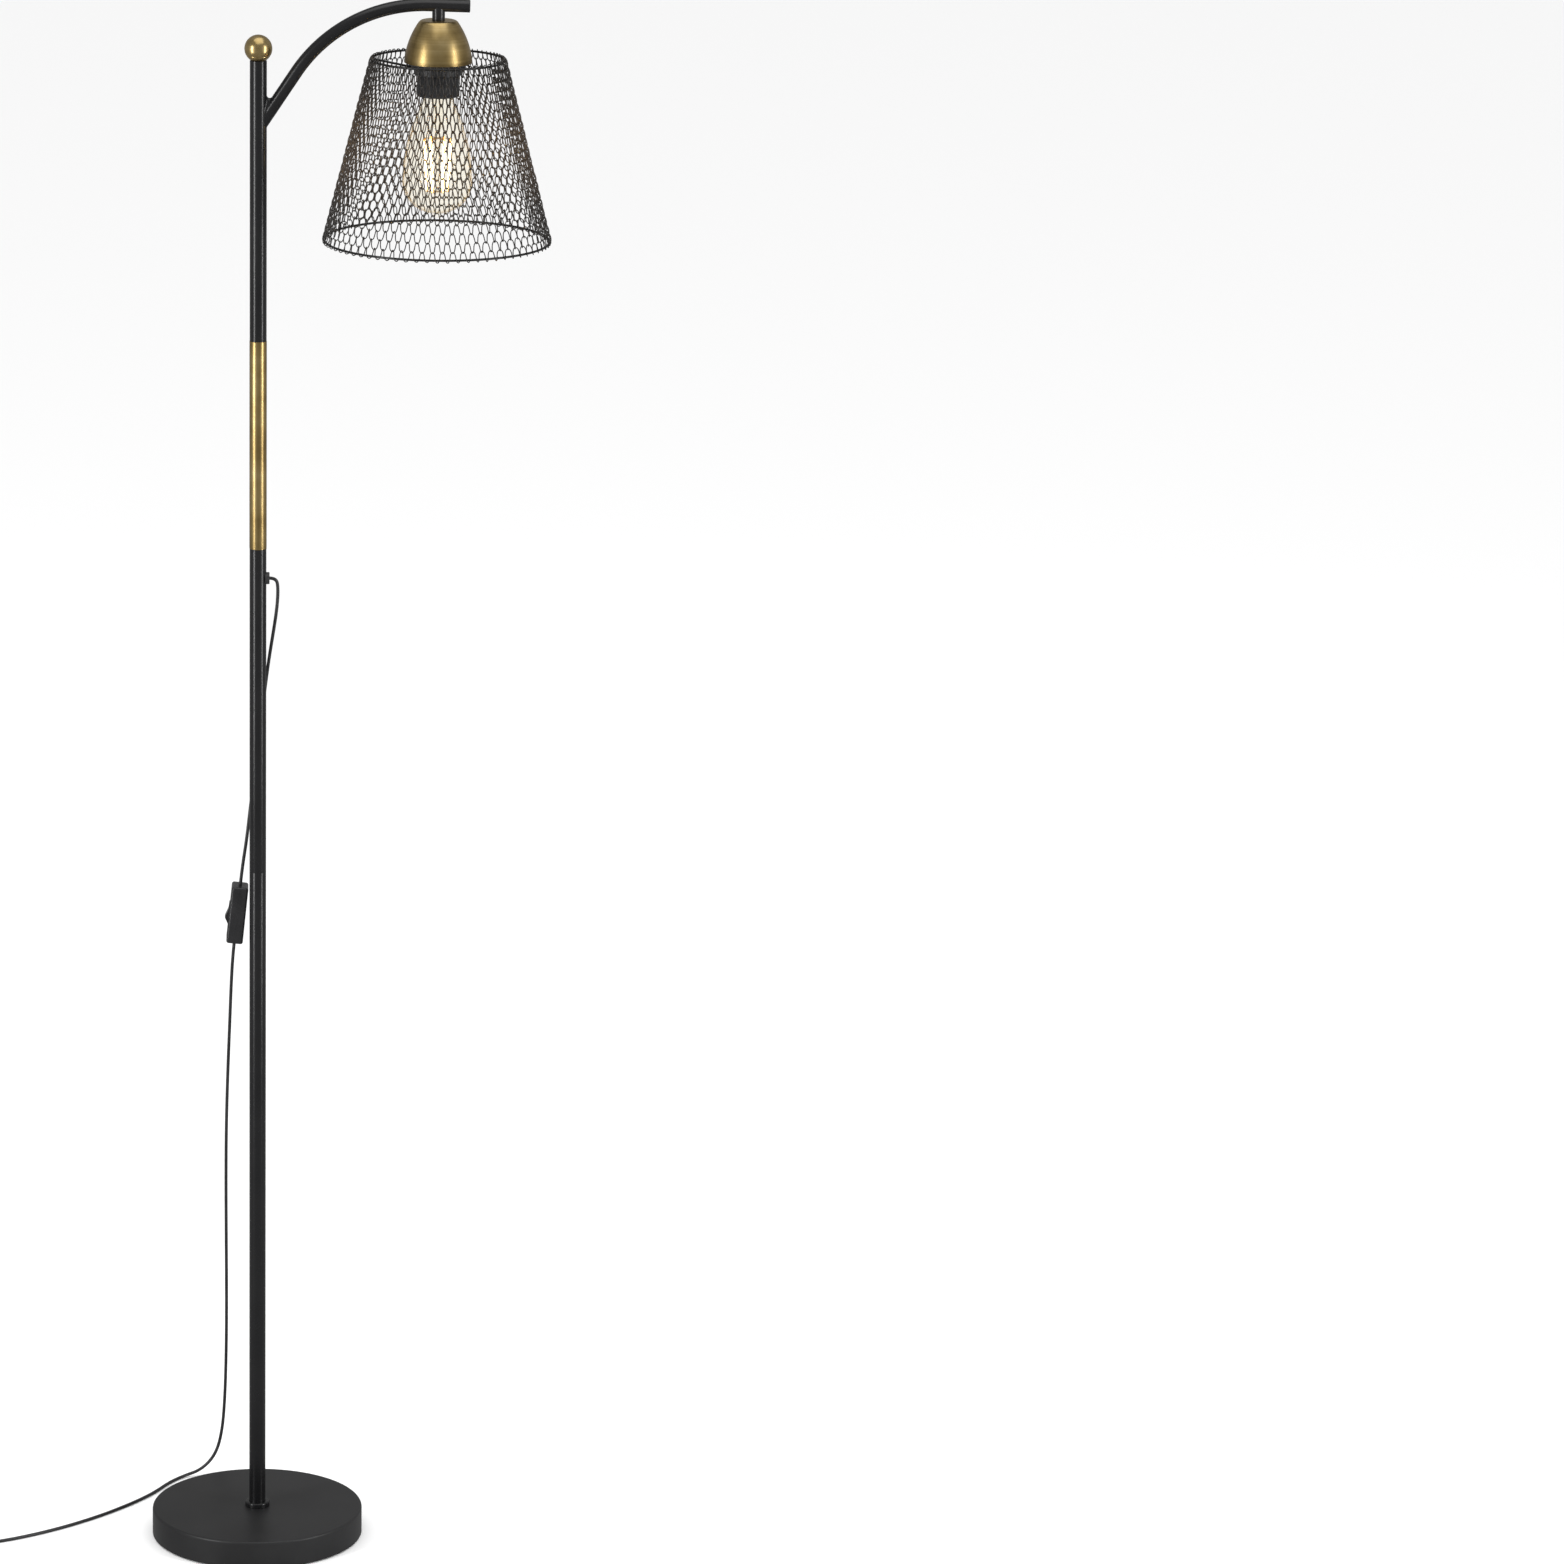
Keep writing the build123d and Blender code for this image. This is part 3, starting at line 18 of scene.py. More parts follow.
import bmesh
import bpy
import numpy as np
from mathutils import Matrix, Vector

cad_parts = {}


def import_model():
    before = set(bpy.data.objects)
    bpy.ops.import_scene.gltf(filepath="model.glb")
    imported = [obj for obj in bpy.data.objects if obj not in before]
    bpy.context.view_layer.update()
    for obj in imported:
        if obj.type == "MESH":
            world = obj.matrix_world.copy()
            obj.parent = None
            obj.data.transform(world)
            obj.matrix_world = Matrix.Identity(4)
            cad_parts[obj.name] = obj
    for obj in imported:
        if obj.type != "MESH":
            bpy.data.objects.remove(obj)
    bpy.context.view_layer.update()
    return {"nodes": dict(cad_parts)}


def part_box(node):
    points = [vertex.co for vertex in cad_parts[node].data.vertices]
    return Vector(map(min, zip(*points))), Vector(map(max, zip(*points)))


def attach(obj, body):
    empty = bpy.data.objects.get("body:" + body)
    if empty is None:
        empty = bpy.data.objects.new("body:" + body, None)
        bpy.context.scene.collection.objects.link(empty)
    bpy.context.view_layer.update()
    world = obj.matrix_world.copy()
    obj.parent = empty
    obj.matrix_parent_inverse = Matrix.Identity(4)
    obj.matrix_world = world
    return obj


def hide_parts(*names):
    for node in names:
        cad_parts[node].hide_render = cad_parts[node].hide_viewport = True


LOG = logging.getLogger("lamp")
HEAD_X = 0.168  # the head's axis, from the pole's
OUTLET = (0.011, 0, 0.968)  # where the cord leaves the pole
SWITCH_FOOT = (-0.022191, 0.016, 0.607478)  # where it leaves the switch
MERGE = 1e-6  # points closer than this become one
Point = Sequence[float]
Colour = tuple[float, float, float]
Array = np.ndarray
Socket = bpy.types.NodeSocket
Material = bpy.types.Material
Object = bpy.types.Object

# ---- shader building


def operator(name: str, swapped: bool = False) -> Callable[["Value", object], "Value"]:
    """Makes an operator that adds one Math node.

    Args:
        name: the node's operation.
        swapped: the other value comes first, so that 1 - mask works.

    Returns:
        The method.
    """

    def method(self: "Value", other: object) -> "Value":
        """One Math node on the value and another value or number.

        Args:
            other: The second input.

        Returns:
            The node's output.
        """
        first, second = (other, self) if swapped else (self, other)
        node = self.shader.node("ShaderNodeMath", {"operation": name}, {0: first, 1: second})
        return Value(self.shader, node.outputs[0])

    return method


@dataclass
class Value:
    """A number inside a shader; Python operators on it add Math nodes."""

    shader: "Shader"
    socket: Socket

    __add__ = __radd__ = operator("ADD")
    __sub__ = operator("SUBTRACT")
    __rsub__ = operator("SUBTRACT", swapped=True)
    __mul__ = __rmul__ = operator("MULTIPLY")
    __truediv__ = operator("DIVIDE")
    __pow__ = operator("POWER")

    def sine(self) -> "Value":
        """Sine of the value."""
        return operator("SINE")(self, 0.0)


class Shader:
    """The node tree of one material, or of the surround."""

    def __init__(self, name: str, surround: bool = False) -> None:
        """Starts an empty tree.

        Args:
            name: name of the new material or world.
            surround: the tree is a world's.
        """
        self.owner = (bpy.data.worlds if surround else bpy.data.materials).new(name)
        self.owner.use_nodes = True
        self.tree = self.owner.node_tree
        self.tree.nodes.clear()
        self.output = self.node("ShaderNodeOutputWorld" if surround else "ShaderNodeOutputMaterial")

    @cached_property
    def place(self) -> Socket:
        """Object coordinates."""
        return self.node("ShaderNodeTexCoord").outputs["Object"]

    def node(
        self, kind: str, settings: dict[str, object] | None = None, inputs: dict | None = None
    ) -> bpy.types.Node:
        """Adds a node of any type.

        Args:
            kind: the node's Blender type.
            settings: properties set first; "stops" fills a colour ramp.
            inputs: socket name or number to a value, a socket or a Value.

        Returns:
            The new node.
        """
        node = self.tree.nodes.new(kind)
        for key, value in (settings or {}).items():
            if key == "stops":
                ramp = node.color_ramp.elements
                while len(ramp) < len(value):
                    ramp.new(0.5)
                for element, (spot, colour) in zip(ramp, value):
                    element.position = spot
                    element.color = (*colour, 1.0)
            else:
                setattr(node, key, value)
        for key, value in (inputs or {}).items():
            socket = node.inputs[key]
            if isinstance(value, Value):
                self.tree.links.new(value.socket, socket)
            elif isinstance(value, Socket):
                self.tree.links.new(value, socket)
            elif socket.type == "RGBA" and len(value) == 3:
                socket.default_value = (*value, 1.0)
            else:
                socket.default_value = value
        return node

    def noise(
        self, scale: float, detail: float = 2.0, rough: float = 0.5, stretch: Point | None = None
    ) -> Value:
        """Noise from 0 to 1.

        Args:
            scale: noise scale over object coordinates.
            detail: number of finer layers.
            rough: weight of the finer layers.
            stretch: number that each axis is multiplied by first.

        Returns:
            The noise.
        """
        place = self.place
        if stretch is not None:
            place = self.node("ShaderNodeMapping", {}, {"Vector": place, "Scale": stretch}).outputs[0]
        inputs = {"Vector": place, "Scale": scale, "Detail": detail, "Roughness": rough}
        return Value(self, self.node("ShaderNodeTexNoise", {}, inputs).outputs["Fac"])

    def ramp(self, mask: Value, stops: Sequence[tuple[float, Colour]]) -> Socket:
        """A colour looked up along a ramp."""
        return self.node("ShaderNodeValToRGB", {"stops": stops}, {0: mask}).outputs["Color"]

    def coordinates(self) -> list[Value]:
        """The object's X, Y and Z at the shaded point."""
        split = self.node("ShaderNodeSeparateXYZ", {}, {0: self.place})
        return [Value(self, axis) for axis in split.outputs]

    def bump(self, height: Value, strength: float, distance: float) -> Socket:
        """A normal disturbed by a height."""
        inputs = {"Height": height, "Strength": strength, "Distance": distance}
        return self.node("ShaderNodeBump", {}, inputs).outputs["Normal"]

    def principled(self, inputs: dict) -> Socket:
        """A Principled surface."""
        return self.node("ShaderNodeBsdfPrincipled", {}, inputs).outputs[0]

    def finish(self, surface: Socket) -> bpy.types.ID:
        """Links the surface to the output and hands back the material or world."""
        self.tree.links.new(surface, self.output.inputs["Surface"])
        return self.owner

    def solid(self, inputs: dict) -> Material:
        """The material, as one Principled surface."""
        return self.finish(self.principled(inputs))


# ---- finishes


class Lay(Enum):
    """Which way a metal's brushing runs: how its fine and its broad noise are stretched."""

    ROUND = ((6.0, 6.0, 2400.0), (3.0, 3.0, 420.0))
    ALONG = ((2200.0, 2200.0, 14.0), (420.0, 420.0, 5.0))
    SOFT = ((1100.0,) * 3, (160.0,) * 3)


@dataclass(frozen=True)
class Paint:
    """Baked paint or powder coat on metal."""

    name: str
    colour: Colour = (0.004, 0.004, 0.0045)
    dust: Colour = (0.008, 0.008, 0.0085)
    roughness: float = 0.27
    coat: float = 0.1
    sheen: float = 0.4
    peel: float = 700.0
    peel_depth: float = 0.00002

    def material(self) -> Material:
        """Slow clouds of sheen, with the fine orange peel of sprayed paint as bump.

        Returns:
            The finished material.
        """
        s = Shader(self.name)
        clouds = s.noise(14.0, 3.0)
        return s.solid({
            "Base Color": s.ramp(clouds, [(0.3, self.colour), (0.75, self.dust)]),
            "Roughness": self.roughness - 0.05 + clouds * 0.1,
            "Metallic": 0.0,
            "Specular IOR Level": self.sheen,
            "Coat Weight": self.coat,
            "Coat Roughness": 0.18,
            "Normal": s.bump(s.noise(self.peel), 0.12, self.peel_depth),
        })


@dataclass(frozen=True)
class AntiqueBrass:
    """Brass, darkened and brushed back, with a satin lacquer."""

    name: str
    lay: Lay
    deep: Colour = (0.2, 0.13, 0.045)
    mid: Colour = (0.42, 0.3, 0.12)
    light: Colour = (0.62, 0.48, 0.24)
    roughness: float = 0.3

    def material(self) -> Material:
        """Brushing is noise drawn out along the lay; the patina is a slow noise under it.

        Returns:
            The finished material.
        """
        s = Shader(self.name)
        fine_stretch, broad_stretch = self.lay.value
        fine = s.noise(1.0, 3.0, 0.6, fine_stretch)
        broad = s.noise(1.0, 2.0, 0.5, broad_stretch)
        patina = s.noise(34.0, 4.0, 0.55)
        tone = patina * 0.55 + broad * 0.3 + fine * 0.2
        return s.solid({
            "Base Color": s.ramp(tone, [(0.34, self.deep), (0.52, self.mid), (0.72, self.light)]),
            "Metallic": 1.0,
            "Roughness": self.roughness - 0.06 + fine * 0.14 + patina * 0.06,
            "Coat Weight": 0.15,
            "Coat Roughness": 0.25,
            "Normal": s.bump(fine * 0.7 + broad * 0.3, 0.22, 0.00004),
        })


@dataclass(frozen=True)
class Moulding:
    """Moulded plastic, rubber or glazed ware, with a fine spark-eroded texture."""

    name: str
    colour: Colour = (0.014, 0.014, 0.015)
    worn: Colour = (0.03, 0.03, 0.031)
    roughness: float = 0.42
    grain: float = 1500.0
    depth: float = 0.00003

    def material(self) -> Material:
        """A fine grain for bump and a slow cloud for colour.

        Returns:
            The finished material.
        """
        s = Shader(self.name)
        grain = s.noise(self.grain)
        return s.solid({
            "Base Color": s.ramp(s.noise(40.0, 3.0), [(0.35, self.colour), (0.8, self.worn)]),
            "Roughness": self.roughness - 0.06 + grain * 0.12,
            "Normal": s.bump(grain, 0.3, self.depth),
        })


@dataclass(frozen=True)
class PlainMetal:
    """Plated or bare metal of the fastenings and contacts."""

    name: str
    colour: Colour = (0.56, 0.56, 0.54)
    stain: Colour = (0.36, 0.35, 0.33)
    roughness: float = 0.32

    def material(self) -> Material:
        """Cloudy plating with a fine tooth.

        Returns:
            The finished material.
        """
        s = Shader(self.name)
        clouds = s.noise(260.0, 3.0)
        return s.solid({
            "Base Color": s.ramp(clouds, [(0.3, self.stain), (0.6, self.colour)]),
            "Metallic": 1.0,
            "Roughness": self.roughness + clouds * 0.12,
            "Normal": s.bump(s.noise(2400.0), 0.2, 0.00002),
        })


@dataclass(frozen=True)
class Casting:
    """Rough cast iron."""

    name: str
    dark: Colour = (0.05, 0.05, 0.05)
    light: Colour = (0.13, 0.125, 0.12)

    def material(self) -> Material:
        """Dark grey lumps.

        Returns:
            The finished material.
        """
        s = Shader(self.name)
        lumps = s.noise(320.0, 4.0, 0.6)
        return s.solid({
            "Base Color": s.ramp(lumps, [(0.3, self.dark), (0.7, self.light)]),
            "Metallic": 0.6,
            "Roughness": 0.55 + lumps * 0.3,
            "Normal": s.bump(lumps, 0.7, 0.0003),
        })


@dataclass(frozen=True)
class LitWirePaint:
    """Thin black paint on the shade's wire, with the bulb's light painted on: warmer and browner towards
    the bulb.
    """

    name: str
    heart: Point = (HEAD_X, 0.0, 1.367)
    reach: float = 0.15
    # away is the wire's own black; the two warmer colours below are painted bulb light, not a colour of
    # the wire
    away: Colour = (0.005, 0.005, 0.0055)
    painted_warm_light: Colour = (0.016, 0.011, 0.007)
    lit: Colour = (0.07, 0.036, 0.013)

    def material(self) -> Material:
        """Painted light: colour follows the distance from the middle of the bulb, broken up by noise.

        Returns:
            The finished material.
        """
        s = Shader(self.name)
        x, y, z = s.coordinates()
        far = ((x - self.heart[0]) ** 2 + (y - self.heart[1]) ** 2 + (z - self.heart[2]) ** 2) ** 0.5
        speckle = s.noise(420.0)
        # painted light: the share of painted bulb light, highest near the bulb's middle
        near = 1.0 - far / self.reach + (speckle - 0.5) * 0.16
        return s.solid({
            "Base Color": s.ramp(near, [(0.0, self.away), (0.3, self.painted_warm_light), (0.62, self.lit)]),
            "Metallic": 0.0,
            "Roughness": 0.3 + speckle * 0.14,
            "Coat Weight": 0.3,
            "Coat Roughness": 0.2,
            "Normal": s.bump(speckle, 0.25, 0.00003),
        })


@dataclass(frozen=True)
class BlownGlass:
    """Clear bulb glass: seen through face on, golden and bright towards its outline, where the lit
    strips' warm light is painted into the reflection's colour.
    """

    name: str
    tint: Colour = (1.0, 0.992, 0.965)
    # painted light: the golden colour of the outline's reflection stands in for the lit strips' glow in
    # the glass
    rim: Colour = (0.8, 0.55, 0.2)

    def material(self) -> Material:
        """A clear layer, mixed towards a glossy golden one by how steeply it is seen.

        Returns:
            The finished material.
        """
        s = Shader(self.name)
        facing = Value(s, s.node("ShaderNodeLayerWeight", {}, {"Blend": 0.5}).outputs["Facing"])
        clear = s.node("ShaderNodeBsdfTransparent", {}, {"Color": self.tint}).outputs[0]
        gloss = s.principled({
            "Base Color": self.rim,
            "Roughness": 0.04 + s.noise(60.0) * 0.03,
            "Metallic": 0.35,
            "IOR": 1.5,
            "Coat Weight": 0.6,
            "Coat Roughness": 0.03,
        })
        share = 0.012 + (facing**7.0) * 0.85
        return s.finish(s.node("ShaderNodeMixShader", {}, {0: share, 1: clear, 2: gloss}).outputs[0])


@dataclass(frozen=True)
class Glow:
    """A lit filament strip: white hot in the middle of its coating, amber at its ends."""

    name: str
    strength: float = 9.0
    low_z: float = 1.342
    high_z: float = 1.392
    bead: float = 0.0016
    end: Colour = (0.85, 0.32, 0.05)
    between: Colour = (1.0, 0.66, 0.25)
    hot: Colour = (1.0, 0.8, 0.45)

    def material(self) -> Material:
        """Emission colour from white yellow to amber, by height and a fine band of beads.

        Returns:
            The finished material.
        """
        s = Shader(self.name)
        z = s.coordinates()[2]
        along = (z - self.low_z) / (self.high_z - self.low_z)
        beads = (z * (2 * math.pi / self.bead)).sine() * 0.12 + 0.88
        heat = (1.0 - (along * 2.0 - 1.0) ** 6.0) * beads
        return s.solid({
            "Base Color": (0.9, 0.55, 0.12),
            "Roughness": 0.4,
            "Emission Color": s.ramp(heat, [(0.0, self.end), (0.6, self.between), (1.0, self.hot)]),
            "Emission Strength": self.strength,
        })


Finish = Paint | AntiqueBrass | Moulding | PlainMetal | Casting | LitWirePaint | BlownGlass | Glow
SHEATH = ((0.012, 0.012, 0.013), (0.024, 0.024, 0.025))

# Each finish by a short name, and the solids that wear it.
WORN: dict[str, tuple[Finish, str]] = {
    "pole": (
        Paint("semi-gloss black steel"),
        "foot_collar pole_lower pole_middle pole_upper arm_tube arm_weld arm_end_cap head_stem",
    ),
    "base": (
        Paint("satin black base", (0.009, 0.009, 0.0095), (0.017, 0.017, 0.0175), 0.42, 0.0),
        "base_cover",
    ),
    "cup": (AntiqueBrass("brass turned cup", Lay.ROUND), "socket_cup"),
    "collar": (AntiqueBrass("brass drawn tube", Lay.ALONG), "pole_brass"),
    "ball": (AntiqueBrass("brass buffed ball", Lay.SOFT, roughness=0.24), "finial_ball"),
    "phenolic": (
        Moulding("black moulded holder"),
        "holder_dome holder_skirt ring_nut bulb_insulator cord_grommet",
    ),
    "wire": (LitWirePaint("black shade wire"), "shade_knit"),
    "rim": (
        Paint("black rim wire", roughness=0.34), "shade_top_ring shade_bottom_ring shade_spider",
    ),
    "glass": (BlownGlass("clear bulb glass"), "bulb_glass bulb_stalk"),
    "glow": (Glow("lit filament"), "bulb_filaments"),
    "cap": (PlainMetal("rolled bulb cap", (0.68, 0.66, 0.6), (0.5, 0.47, 0.41), 0.28), "bulb_cap"),
    "zinc": (
        PlainMetal("zinc plate"),
        "base_washer base_nut base_stud pole_inserts pole_nipples top_plug head_nipple"
        " head_lock_nut terminal_screws switch_screws rocker_pin bulb_button",
    ),
    "contact": (
        PlainMetal("bare brass", (0.68, 0.49, 0.2), (0.45, 0.3, 0.12), 0.3),
        "screw_shell centre_contact switch_contacts plug_blades",
    ),
    "casting": (Casting("cast weight"), "base_weight"),
    "rubber": (
        Moulding("foamed rubber pad", (0.012, 0.012, 0.012), (0.03, 0.03, 0.03), 0.8), "base_pad",
    ),
    "ceramic": (Moulding("glazed core", (0.62, 0.6, 0.55), (0.72, 0.7, 0.66), 0.2), "holder_core"),
    "sheath": (Moulding("black cord sheath", *SHEATH, 0.4), "inner_lead cord_upper cord_lower cord_coil"),
    "switch": (
        Moulding("gloss black switch", (0.01, 0.01, 0.011), (0.02, 0.02, 0.021), 0.26),
        "switch_front switch_back switch_rocker",
    ),
    "plug": (Moulding("black plug", *SHEATH, 0.45), "plug_body"),
    "support": (
        PlainMetal("support wire", (0.5, 0.42, 0.32), (0.32, 0.26, 0.2), 0.4), "bulb_supports",
    ),
}


class Finishes:
    """Every finish of the lamp, made once."""

    def __init__(self) -> None:
        """Builds each material."""
        self.made = {key: finish.material() for key, (finish, _) in WORN.items()}

    def __getitem__(self, key: str) -> Material:
        """The finish of that short name."""
        return self.made[key]

    def dress(self, nodes: dict[str, Object]) -> None:
        """Gives each carried-over solid its finish.

        Args:
            nodes: the solids by name.
        """
        for key, (_, names) in WORN.items():
            for name in names.split():
                materials = nodes[name].data.materials
                materials.clear()
                materials.append(self.made[key])
            LOG.info("%s: %s", key, names)


# ---- surfaces


@dataclass
class Surface:
    """Vertices and four-sided faces worked out as whole arrays."""

    verts: Array
    quads: Array


def join(surfaces: Iterable[Surface]) -> Surface:
    """All the surfaces as one.

    Args:
        surfaces: the surfaces, in order.

    Returns:
        One surface, its face numbers moved on.
    """
    parts = list(surfaces)
    starts = np.cumsum([0] + [len(p.verts) for p in parts[:-1]])
    quads = [p.quads + start for p, start in zip(parts, starts)]
    return Surface(np.vstack([p.verts for p in parts]), np.vstack(quads))


def around(sides: int) -> Array:
    """Angles of equal steps once round."""
    return np.linspace(0.0, 2 * np.pi, sides, endpoint=False)


def columns_of(*values: Array) -> Array:
    """The arrays side by side."""
    return np.stack(values, axis=-1)


def grid_faces(rows: int, columns: int, round_rows: bool) -> Array:
    """Faces of a grid of points numbered row by row, whose columns close on themselves.

    Args:
        rows: number of rows.
        columns: points in a row.
        round_rows: the last row joins the first.

    Returns:
        Four point numbers for each face.
    """
    row = np.arange(rows if round_rows else rows - 1)
    r, c = np.meshgrid(row, np.arange(columns), indexing="ij")
    r2, c2 = (r + 1) % rows, (c + 1) % columns
    corners = [r * columns + c, r * columns + c2, r2 * columns + c2, r2 * columns + c]
    return columns_of(*(corner.ravel() for corner in corners))


def turned(
    profile: Array,
    centre: Point = (0.0, 0.0, 0.0),
    sides: int = 72,
    ring: bool = False,
    swell: Callable[[Array, Array], Array] | None = None,
) -> Surface:
    """A surface of revolution about a vertical line through centre.

    Each point (r, z) of the profile, listed upwards on the outside, sweeps a circle of radius r
    at height z. With swell, its result for every height and angle is added to the radius.

    Args:
        profile: n rows of radius and height.
        centre: the axis's place; its height is added to every point.
        sides: points round the circle.
        ring: the profile closes on itself, as a ring's or a shell's does.
        swell: from heights and angles to additions to the radius.

    Returns:
        The surface, its faces outwards.
    """
    radius, height, turn = np.broadcast_arrays(profile[:, :1], profile[:, 1:], around(sides)[None, :])
    if swell is not None:
        radius = np.where(radius > MERGE, radius + swell(height, turn), radius)
    verts = columns_of(radius * np.cos(turn), radius * np.sin(turn), height) + centre
    return Surface(verts.reshape(-1, 3), grid_faces(len(profile), sides, ring))


def tube(
    path: Array, inward: Array, radius: float | Array, sides: int, closed: bool
) -> Surface:
    """A round wire carried along a path.

    At every point of the path a circle stands square to the path's direction; inward is a
    direction that is never along the path and sets where the circle starts.

    Args:
        path: n points.
        inward: n directions.
        radius: the wire's radius, or one for each point.
        sides: points round the wire.
        closed: the path ends where it starts; otherwise its ends are drawn to a point.

    Returns:
        The wire's surface.
    """
    if closed:
        ahead = np.roll(path, -1, axis=0) - np.roll(path, 1, axis=0)
    else:
        ahead = np.gradient(path, axis=0)
    ahead /= np.linalg.norm(ahead, axis=1, keepdims=True)
    side = np.cross(ahead, inward)
    side /= np.linalg.norm(side, axis=1, keepdims=True)
    up = np.cross(side, ahead)
    thick = np.broadcast_to(np.asarray(radius, dtype=float), (len(path),))
    if not closed:
        path, side, up = (np.vstack([a[:1], a, a[-1:]]) for a in (path, side, up))
        thick = np.concatenate([[0.0], thick, [0.0]])
    angle = around(sides)[None, :, None]
    spokes = side[:, None, :] * np.cos(angle) - up[:, None, :] * np.sin(angle)
    verts = path[:, None, :] + spokes * thick[:, None, None]
    return Surface(verts.reshape(-1, 3), grid_faces(len(path), sides, closed))


def lofted(
    centre: Array, axes: Array, halves: Array, power: Array, sides: int
) -> Surface:
    """A closed body through superellipse sections.

    Section i has half widths a and b; its outline is a * cos(t) and b * sin(t), each with its
    size raised to 2 over the section's power, so 2 gives an ellipse and 5 a soft rectangle.

    Args:
        centre: middle of each section, n rows.
        axes: the two directions that a and b lie along.
        halves: a and b of each section.
        power: each section's power.
        sides: points round an outline.

    Returns:
        The body, its two ends drawn to points.
    """
    turn = around(sides)[None, :]
    lift = 2.0 / power[:, None]
    across = np.sign(np.cos(turn)) * np.abs(np.cos(turn)) ** lift * halves[:, :1]
    upward = np.sign(np.sin(turn)) * np.abs(np.sin(turn)) ** lift * halves[:, 1:2]
    verts = centre[:, None, :] + across[..., None] * axes[0] + upward[..., None] * axes[1]
    return Surface(verts.reshape(-1, 3), grid_faces(len(centre), sides, False))


def rounding(start: Array, corner: Array, end: Array, steps: int) -> Array:
    """A curve of second order from start to end that heads for the corner from both."""
    t = np.linspace(0.0, 1.0, steps)[:, None]
    return (1 - t) ** 2 * start + 2 * t * (1 - t) * corner + t**2 * end


def softened(corners: Sequence[Point], radii: Sequence[float], steps: int = 6) -> Array:
    """A profile with its corners rounded.

    Args:
        corners: the profile's corners.
        radii: how far from each corner its rounding starts, 0 for a sharp one.
        steps: points along each rounding.

    Returns:
        The points of the rounded profile.
    """
    points = np.asarray(corners, dtype=float)
    out = []
    for i, reach in enumerate(radii):
        if reach <= 0 or i in (0, len(points) - 1):
            out.append(points[i : i + 1])
            continue
        back, on = points[i - 1] - points[i], points[i + 1] - points[i]
        start = points[i] + back / np.linalg.norm(back) * reach
        end = points[i] + on / np.linalg.norm(on) * reach
        out.append(rounding(start, points[i], end, steps))
    return np.vstack(out)


def ellipse(x: float, z: float, a: float, b: float, turn: Array) -> Array:
    """Points of an ellipse round (x, z), with half widths a and b."""
    return columns_of(x + a * np.cos(turn), z + b * np.sin(turn))


def circle_through(spots: Array) -> tuple[float, float, float]:
    """The circle through three points.

    Args:
        spots: the points, one a row.

    Returns:
        The middle's two coordinates and the radius.
    """
    x, y, rest = np.linalg.solve(np.column_stack([2 * spots, np.ones(3)]), (spots**2).sum(axis=1))
    return x, y, math.sqrt(rest + x * x + y * y)


@dataclass
class Thread:
    """A screw thread on a turned piece: a smooth ridge that climbs one pitch in each turn."""

    pitch: float
    depth: float
    foot: float
    low: float
    high: float
    fade: float
    points: int

    def swell(self, height: Array, angle: Array) -> Array:
        """What the thread adds to the radius, on the profile's first points only.

        Args:
            height: height of every point.
            angle: its angle round the axis.

        Returns:
            The additions: 0 on the ridge, less in the groove.
        """
        wave = 0.5 - 0.5 * np.cos(2 * np.pi * (height - self.foot) / self.pitch - angle)
        ends = np.minimum(height - self.low, self.high - height) / self.fade
        swell = -self.depth * wave * np.clip(ends, 0, 1)
        swell[self.points :] = 0.0
        return swell


def swung(a: Array, b: Array, degrees: float) -> tuple[Array, Array]:
    """Two directions square to each other, turned in their plane, a towards b.

    Args:
        a: the first direction.
        b: the second direction.
        degrees: how far.

    Returns:
        Both directions, turned.
    """
    c, s = math.cos(math.radians(degrees)), math.sin(math.radians(degrees))
    return a * c + b * s, b * c - a * s


def placed(
    name: str, data: bpy.types.ID, axes: Sequence[Point] | None = None, spot: Point = (0, 0, 0)
) -> Object:
    """Puts an object into the scene.

    Args:
        name: the object's name.
        data: its mesh, curve, light or camera.
        axes: the directions of its own X, Y and Z.
        spot: where it stands.

    Returns:
        The object.
    """
    columns = np.eye(4)
    if axes is not None:
        columns[:3, :3] = np.transpose(axes)
    columns[:3, 3] = spot
    obj = bpy.data.objects.new(name, data)
    obj.matrix_world = Matrix(columns.tolist())
    bpy.context.scene.collection.objects.link(obj)
    return obj


